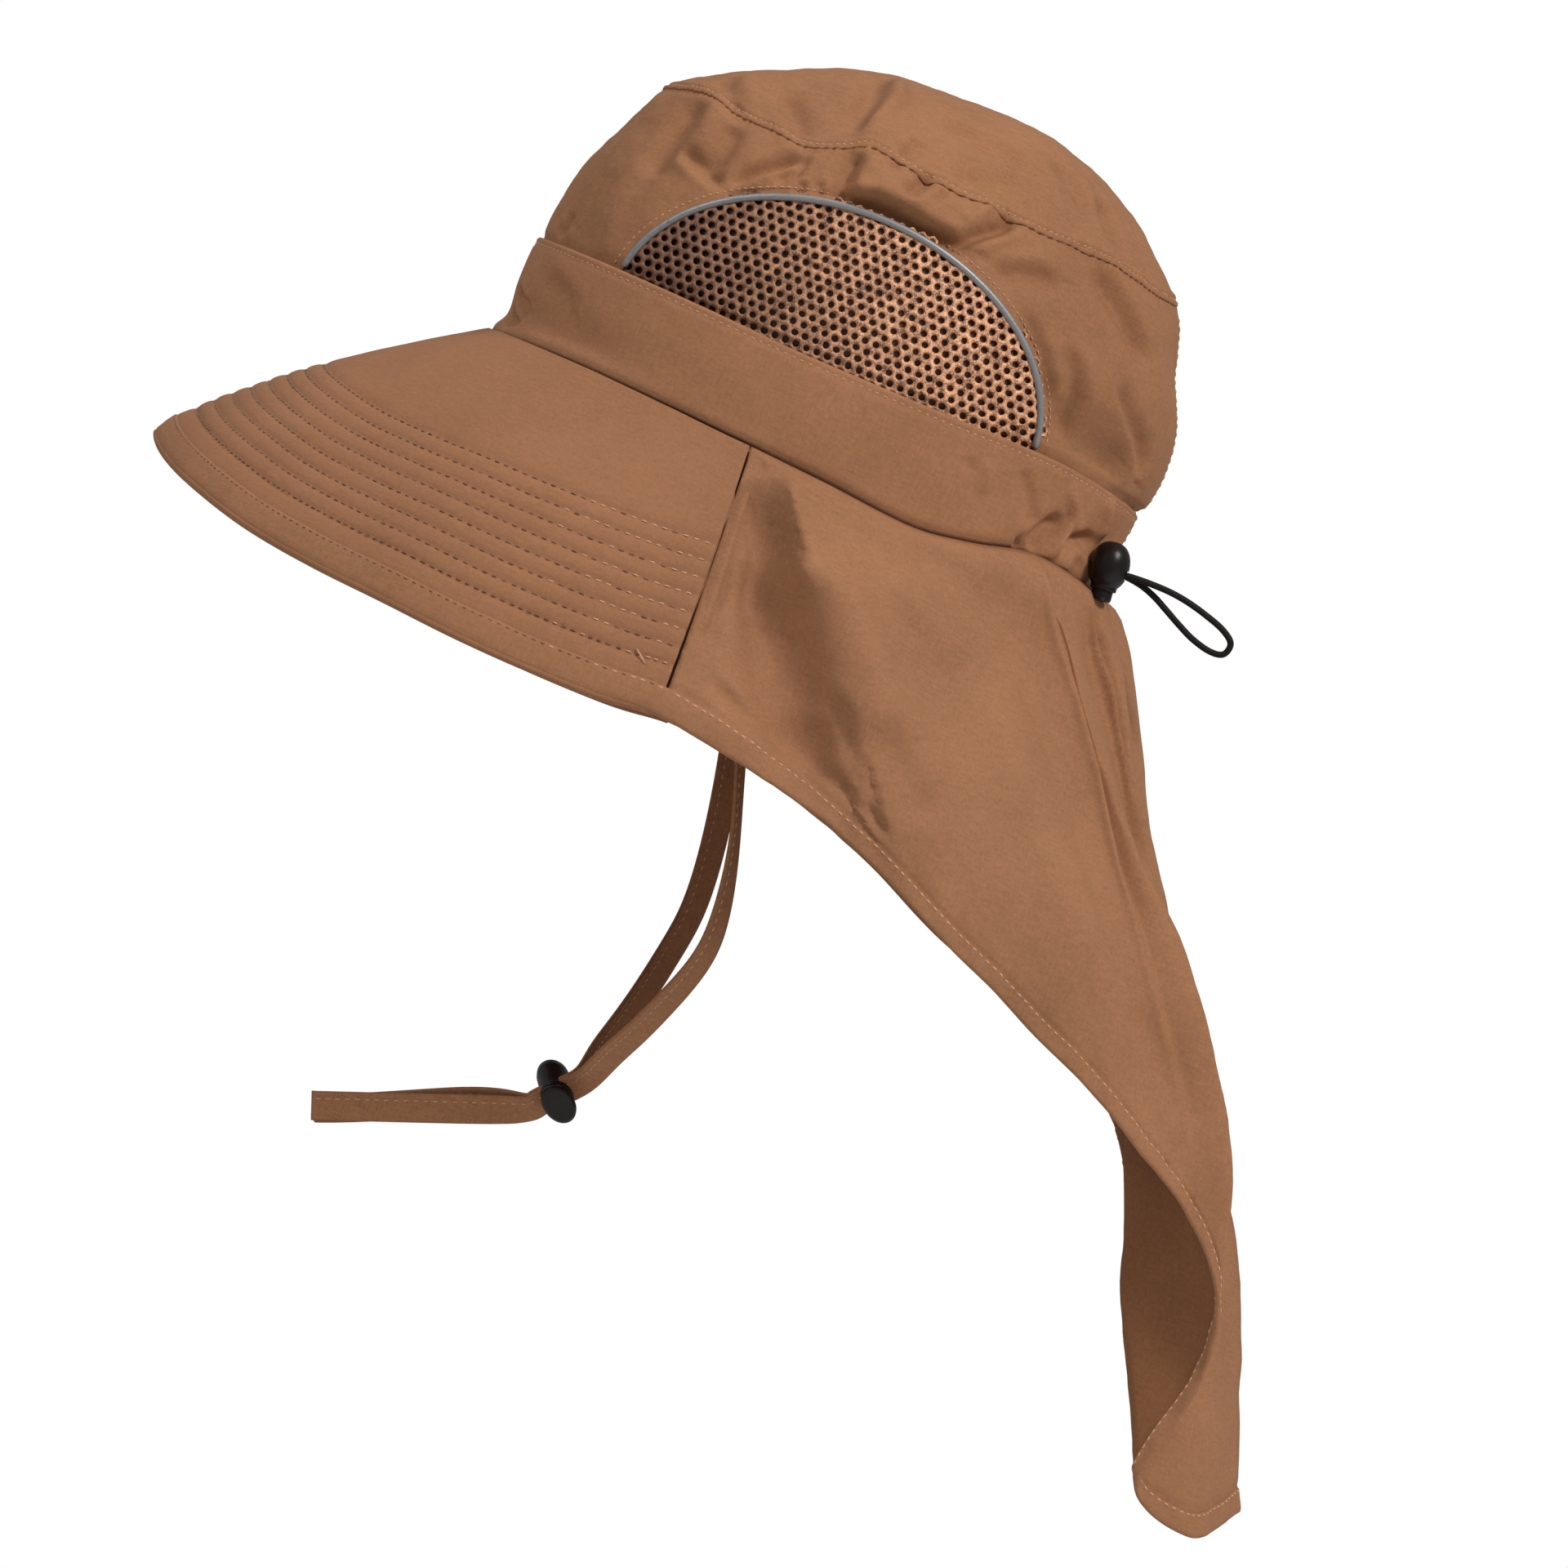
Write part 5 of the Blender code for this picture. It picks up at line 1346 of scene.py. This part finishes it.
def strapStations():
    frameMatrix = chinLockFrame()
    slotSpot, through = frameMatrix.translation.copy(), -frameMatrix.col[1].xyz
    flat = Vector((1, 0, 0)).cross(through).normalized()
    cross = frameMatrix.col[0].xyz
    turn = math.degrees(math.atan2(cross.dot(through.cross(flat)), cross.dot(flat)))
    turn = (turn + 90.0) % 180.0 - 90.0
    depth = strapLook["lockDepth"]
    entry = [(*(slotSpot - step * depth * through), turn) for step in (1.1, 0.55, 0.0)]
    leaving = [(*(slotSpot + step * depth * through), turn) for step in (0.0, 0.55, 1.0)]
    tail = [(slotSpot.x, slotSpot.y - strapLook["tail"] * share, slotSpot.z - strapLook["width"] * sink, tailTurn)
            for share, sink, tailTurn in strapLook["tailRows"]]
    left = evenOut(smoothLine(armRows(strapLook["left"], 1) + entry, 120))
    right = evenOut(smoothLine(armRows(strapLook["right"], -1) + entry, 120))
    out = smoothLine(leaving + tail, 60)
    layer = (strapLook["wall"] + clearance) / 2
    stations = []

    def walk(path, offsetStart, offsetEnd):
        count = len(path) - 1
        spots = [Vector(row[:3]) for row in path]
        walked = []
        for index, row in enumerate(path):
            along = (spots[min(index + 1, count)] - spots[max(index - 1, 0)]).normalized()
            level = Vector((1, 0, 0)).cross(along).normalized()
            angle = math.radians(row[3])
            width = math.cos(angle) * level + math.sin(angle) * along.cross(level)
            offset = offsetStart + (offsetEnd - offsetStart) * float(ease(index / count * 2 - 1))
            walked.append((spots[index] + offset * along.cross(width), width, along))
        return walked

    stations += walk(left, 0.0, layer)
    stations += walk(out, layer, layer)[1:]
    end, width, along = stations[-1]
    normal = along.cross(width)
    for degrees in (30, 60, 90, 120, 150):
        angle = math.radians(degrees)
        spot = end - layer * normal + layer * (math.cos(angle) * normal + math.sin(angle) * along)
        stations.append((spot, width, along))
    under = out.copy()
    share = np.linspace(0.0, 1.0, len(under))
    look = strapLook["underTail"]
    past = share - look["at"]
    under[:, 2] += look["rise"] * hill(past / look["riseWidth"]) - look["sink"] * ease((share - 0.8) / 0.2)
    under[:, 0] -= look["aside"] * hill(past / look["asideWidth"])
    stations += reversed(walk(under, -layer, -layer))
    stations += reversed(walk(right, 0.0, -layer)[:-1])
    return stations


def makeStrap():
    stations = strapStations()
    centres = np.array([station[0] for station in stations])
    widths = np.array([station[1] for station in stations])
    last = len(stations) - 1

    def place(across, up):
        index = np.rint(across * last).astype(int)
        return centres[index] + widths[index] * ((up - 0.5) * strapLook["width"])[:, None]

    piece = layGrid("chinStrapCloth", last, 10, place)
    piece.data.materials.append(finishes["strap"])
    thicken(piece, strapLook["wall"], offset=0.0, inner=0)
    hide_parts("chin_strap")


makeStrap()
print("stage: chin strap")


hemLook = {
    "width": 0.0072, "lift": 0.00045, "edge": 0.0006, "stitch": 0.0064, "spacing": 0.0011,
    "corner": {"points": 7.0, "passes": 14, "pull": 0.7},
    "profile": ((1.0, -0.30), (0.99, 0.70), (0.93, 1.0), (0.80, 0.78), (0.55, 0.95), (0.30, 1.0), (0.10, 0.95)),
}


def edgeRow(share, away, under=False):
    # points and outward normals all round the hat, at one distance from the visor's edge and the flap's edge
    visorSteps, flapSteps = share
    up = (1 - away / visorLengths(visorAngle(visorSteps))) * visorLook["topShare"]
    spots, normals = rowOn(placeVisor, reliefVisor, visorSteps, 1 - up if under else up)
    up = 1 - away / flapCrowd["reach"] * (1 - flapCrowd["share"])
    draped, across = rowOn(placeFlap, reliefFlap, flapSteps, np.full(len(flapSteps), up))
    if under:
        draped, across = draped - across * flapLook["wall"], -across
    spots = np.concatenate((spots, draped))
    normals = np.concatenate((normals, across))
    index = np.arange(len(spots))
    steps = [np.abs(index - start) for start in (0, len(visorSteps))]
    near = np.min([np.minimum(step, len(spots) - step) for step in steps], axis=0)
    corner = hemLook["corner"]
    weight = ease(1.2 - near / corner["points"])[:, None]
    for _ in range(corner["passes"]):  # one smooth run where the visor's edge meets the flap's
        middle = (np.roll(spots, 1, axis=0) + np.roll(spots, -1, axis=0)) / 2
        spots = spots + weight * (middle - spots) * corner["pull"]
        normals = unit(normals + weight * (np.roll(normals, 1, axis=0) + np.roll(normals, -1, axis=0)) / 2)
    return spots, normals


def evenSteps(line, spacing):
    trips = tripsAlong(line)
    count = int(trips[-1] / spacing)
    return np.interp(np.linspace(0.004, 0.996, count) * trips[-1], trips, np.linspace(0, 1, len(line)))


hemShares = (evenSteps(visorEdgeLine, hemLook["spacing"]), evenSteps(flapHemLine, hemLook["spacing"]))


def makeHem():
    # the turned edge that runs on from the visor to the flap and back, folded over both
    rows = []
    for under in (False, True):
        half = []
        for share, lift in hemLook["profile"]:
            spots, normals = edgeRow(hemShares, hemLook["width"] * share, under)
            half.append(spots + normals * hemLook["lift"] * lift)
        rows += half if not under else half[::-1]
        if not under:
            top, facing = edgeRow(hemShares, 0.0)
            below, _ = edgeRow(hemShares, 0.0, True)
            inner, _ = edgeRow(hemShares, 0.0012)
            out = unit(top - inner)
            for turn in (0.25, 0.5, 0.75):
                middle = top + (below - top) * turn
                rows.append(middle + out * hemLook["edge"] * math.sin(math.pi * turn) + facing * hemLook["lift"]
                            * math.cos(math.pi * turn))
    rows = np.array(rows)
    count = rows.shape[1]

    def place(across, up):
        column = np.mod(np.rint(across * count).astype(int), count)
        return rows[np.rint(up * (len(rows) - 1)).astype(int), column]

    piece = layGrid("hemBinding", count, len(rows) - 1, place, closed=True)
    piece.data.materials.append(finishes["flap"])
    faceOut(piece)


makeHem()
print("stage: hem")


lockLook = {
    "chin": {"width": 0.0127, "depth": 0.0100, "length": 0.0155, "slotWidth": 0.0094, "slotHeight": 0.0032,
             "slotToRim": 0.0024, "headWidth": 0.0150, "headWall": 0.0022, "axis": (-0.83, -0.14, 0.53)},
    "back": {"width": 0.0123, "depth": 0.0123, "length": 0.0150, "slotWidth": 0.0049, "slotHeight": 0.0028,
             "slotToRim": 0.0060, "headWidth": 0.0066, "headWall": 0.0010, "axis": (0.0, 0.27, 0.96)},
    "wall": 0.0008, "play": 0.0003, "travel": 0.0020, "steps": 64, "softShell": 0.0004, "softEdge": 0.00025,
    "sharpFrom": 38.0,  # degrees
}


def turned(profile, width, depth):
    # a round or oval piece, spun about its own axis
    bm = bmesh.new()
    verts = [bm.verts.new((reach, 0.0, height)) for reach, height in profile]
    edges = [bm.edges.new(pair) for pair in zip(verts, verts[1:])]
    bmesh.ops.spin(bm, geom=verts + edges, cent=(0, 0, 0), axis=(0, 0, 1), angle=math.tau, steps=lockLook["steps"],
                   use_merge=True)
    bmesh.ops.remove_doubles(bm, verts=bm.verts, dist=1e-4)
    bmesh.ops.scale(bm, vec=(width / 2, depth / 2, 1.0), verts=bm.verts)
    bmesh.ops.recalc_face_normals(bm, faces=bm.faces)
    return bm


def softened(profile, reach):
    # rounds every corner of a profile given as share of the half width and height in metres
    spots = [np.array(row, float) for row in profile]
    result = [spots[0]]
    for before, corner, after in zip(spots, spots[1:], spots[2:]):
        size = np.array((0.006, 1.0))
        first, second = (before - corner) * size, (after - corner) * size
        a = corner + (before - corner) * min(0.45, reach / max(np.linalg.norm(first), 1e-6))
        b = corner + (after - corner) * min(0.45, reach / max(np.linalg.norm(second), 1e-6))
        for share in (0.0, 0.25, 0.5, 0.75, 1.0):
            result.append(a * (1 - share) ** 2 + 2 * corner * share * (1 - share) + b * share ** 2)
    return result + [spots[-1]]


def makeLock(name, matrix, look, body):
    wall, play, travel = lockLook["wall"], lockLook["play"], lockLook["travel"]
    width, depth, half = look["width"], look["depth"], look["slotHeight"] / 2
    rim = -look["slotToRim"]
    top = rim + look["length"]
    stemTop = half + wall
    boreWidth = look["slotWidth"] + 2 * (wall + play)
    boreDepth = min(depth - 2 * (wall + play), boreWidth)
    boreTop = stemTop + travel + play
    if name == "chin":
        dome = depth * 0.5
        outer = [(0.95, rim), (0.985, rim + 0.0012), (0.93, rim + 0.0016), (1.0, top - dome), (0.93, top - dome * 0.55),
                 (0.72, top - dome * 0.20), (0.40, top - dome * 0.04), (0.0, top)]
    else:
        middle, radius = (rim + top) / 2, (top - rim) / 2
        outer = [(0.66, rim)]
        outer += [(math.cos(math.radians(turn)) ** 0.8, middle + radius * math.sin(math.radians(turn)))
                  for turn in range(-54, 90, 9)]
        outer.append((0.0, top))
    shell = turned(softened([(0.0, rim)] + outer, lockLook["softShell"]), width, depth)
    bodyPiece = bpy.data.objects.new(name + "LockShell", meshFrom(name + "LockBody", shell))
    stem = boreWidth - 2 * play, boreDepth - 2 * play
    shoulder = rim - travel - play
    end = shoulder - look["headWall"]
    head = look["headWidth"] / stem[0]
    rise = shoulder - end
    push = [(0.0, end - 0.0002), (0.80 * head, end), (0.97 * head, end + 0.25 * rise),
            (0.93 * head, end + 0.45 * rise), (head, end + 0.62 * rise), (0.97 * head, shoulder), (1.0, shoulder),
            (1.0, stemTop), (0.0, stemTop)]
    button = turned(softened(push, lockLook["softEdge"]), *stem)
    buttonPiece = bpy.data.objects.new(name + "LockPush", meshFrom(name + "LockButton", button))
    tools = []
    bore = turned([(0.0, rim - wall), (1.0, rim - wall), (1.0, boreTop), (0.0, boreTop)], boreWidth, boreDepth)
    for toolName, mesh in (("bore", bore), ("slot", None), ("passage", None)):
        if mesh is None:
            mesh = bmesh.new()
            bmesh.ops.create_cube(mesh, size=1.0)
            low = -half - (travel if toolName == "passage" else 0.0)
            bmesh.ops.scale(mesh, vec=(look["slotWidth"], 2 * depth, half - low), verts=mesh.verts)
            bmesh.ops.translate(mesh, vec=(0.0, 0.0, (half + low) / 2), verts=mesh.verts)
        tools.append(show(toolName, meshFrom(toolName, mesh)))
    for piece, cutters, moving in ((bodyPiece, tools[:2], "hat"), (buttonPiece, tools[2:], body)):
        bpy.context.scene.collection.objects.link(piece)
        for tool in cutters:
            piece.modifiers.new(tool.name, "BOOLEAN").object = tool
        bpy.context.view_layer.update()
        done = bpy.data.meshes.new_from_object(piece.evaluated_get(bpy.context.evaluated_depsgraph_get()))
        piece.modifiers.clear()
        piece.data = done
        done.transform(matrix)
        done.shade_smooth()
        done.set_sharp_from_angle(angle=math.radians(lockLook["sharpFrom"]))
        done.materials.append(finishes["plastic"])
        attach(piece, moving)
    for tool in tools:
        bpy.data.objects.remove(tool)
    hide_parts(name + "_lock_body")
    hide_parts(name + "_lock_button")


makeLock("chin", chinLockFrame(), lockLook["chin"], "chin_button")
makeLock("back", lockFrame(Vector(backLockCentre()), lockLook["back"]["axis"], (0.0, 0.96, -0.27)), lockLook["back"],
         "back_button")
print("stage: locks")


def makeSewing():
    pitch, thread = stitchLook["pitch"], stitchLook["thread"]
    crownRowsSewn, bandRowsSewn, visorRowsSewn, flapRowsSewn, strapRowsSewn = [], [], [], [], []
    around = np.linspace(0.0, 1.0, 900)

    seamUp = lapLook["rows"] * (1 - lapLook["stitch"] / lapLook["reach"])
    spots, normals = rowOn(placeDome, reliefDome, around, seamUp)
    crownRowsSewn += sewRow(spots, normals, pitch * 0.85, thread)

    for side in (1, -1):  # along the piping
        turns = np.linspace(4, 176, 260)
        y, z = archPoint(turns, -0.0030)
        clear = z - bandUpper(crownAngle(y)) > 0.0005
        y, z = y[clear], z[clear]
        place = toRoom(crownAt(y, z, 1.0, 0.0)) * np.array((side, 1, 1))
        inner = toRoom(crownAt(y, z, 1.0, 0.001)) * np.array((side, 1, 1))
        normals = unit(place - inner)
        crownRowsSewn += sewRow(place + normals * reliefSkin(place, normals)[:, None], normals, pitch * 0.85, thread)
    for offset in (-0.0022, 0.0022):  # the felled seam at the centre back
        across = np.full(160, 0.5 + offset / (math.tau * worn["back"]))
        hidden = crownRows["hidden"]
        spots, normals = rowOn(placeCrown, reliefCrown, across, np.linspace(hidden + 0.01, 0.94, 160))
        crownRowsSewn += sewRow(spots, normals, pitch, thread)
        spots, normals = rowOn(placeBand, reliefBand, across, np.linspace(0.06, 0.9, 160))
        bandRowsSewn += sewRow(spots, normals, pitch, thread)

    spots, normals = rowOn(placeBand, reliefBand, around, 1 - bandLook["stitchDrop"] / bandLook["height"])
    bandRowsSewn += sewRow(spots, normals, pitch, thread)

    along = np.linspace(0.004, 0.996, 900)
    top = visorLook["topShare"]
    for row in visorRowsAt()[1:]:
        share = 1 - row / visorLengths(visorAngle(along))
        for up in (share * top, 1 - share * top):
            spots, normals = rowOn(placeVisor, reliefVisor, along, up)
            visorRowsSewn += sewRow(spots, normals, stitchLook["visorPitch"], thread, 0.60, 0.65)
    spots, _ = rowOn(placeVisor, reliefVisor, np.array((0.030, 0.010)),
                     top * (1 - np.array((0.0155, 0.0078)) / visorLengths(np.array((78.0, 82.0)))))
    flapRowsSewn += sewRow(spots, np.array(((0.5, -0.5, 0.7),) * 2), 0.0058, thread, 0.95, 1.2)  # a loose tack

    for under in (False, True):
        spots, normals = edgeRow(hemShares, hemLook["stitch"], under)
        spots = spots + normals * hemLook["lift"] * 0.8
        flapRowsSewn += sewRow(np.concatenate((spots, spots[:1])), np.concatenate((normals, normals[:1])),
                               pitch * 1.05, thread)

    stations = strapStations()
    centres, widths, runs = (np.array([station[part] for station in stations]) for part in range(3))
    facing = unit(np.cross(runs, widths))
    for sign in (1, -1):
        spots = centres + widths * strapLook["width"] * strapLook["stitchAt"] + facing * sign * strapLook["wall"] / 2
        strapRowsSewn += sewRow(spots, facing * sign, stitchLook["strapPitch"], thread)

    def split(rows):
        # the thread is painted darker towards the front: a darker copy of the thread as painted shade
        front = [matrix.translation.y < -0.050 + 0.025 * dice.uniform(-1, 1) for matrix in rows]
        return [row for row, shaded in zip(rows, front) if not shaded], [row for row, shaded in zip(rows, front) if shaded]

    light, shaded = split(visorRowsSewn)
    hemLight, hemShaded = split(flapRowsSewn)
    for name, rows, slot, finish in (
            ("crownStitches", crownRowsSewn, "crown_cloth", "nearThread"),
            ("bandStitches", bandRowsSewn, "band_cloth", "nearThread"),
            ("visorStitches", light, "visor_cloth", "thread"),
            ("visorStitchesFront", shaded, "visor_cloth", "shadowThread"),
            ("flapStitches", hemLight, "flap_cloth", "thread"),
            ("hemStitchesFront", hemShaded, "flap_cloth", "shadowThread"),
            ("strapStitches", strapRowsSewn, "strap_cloth", "nearThread")):
        sewPiece(name, rows, finishes[finish])
        print(f"{name}: {len(rows)}")


makeSewing()
print("stage: sewing")
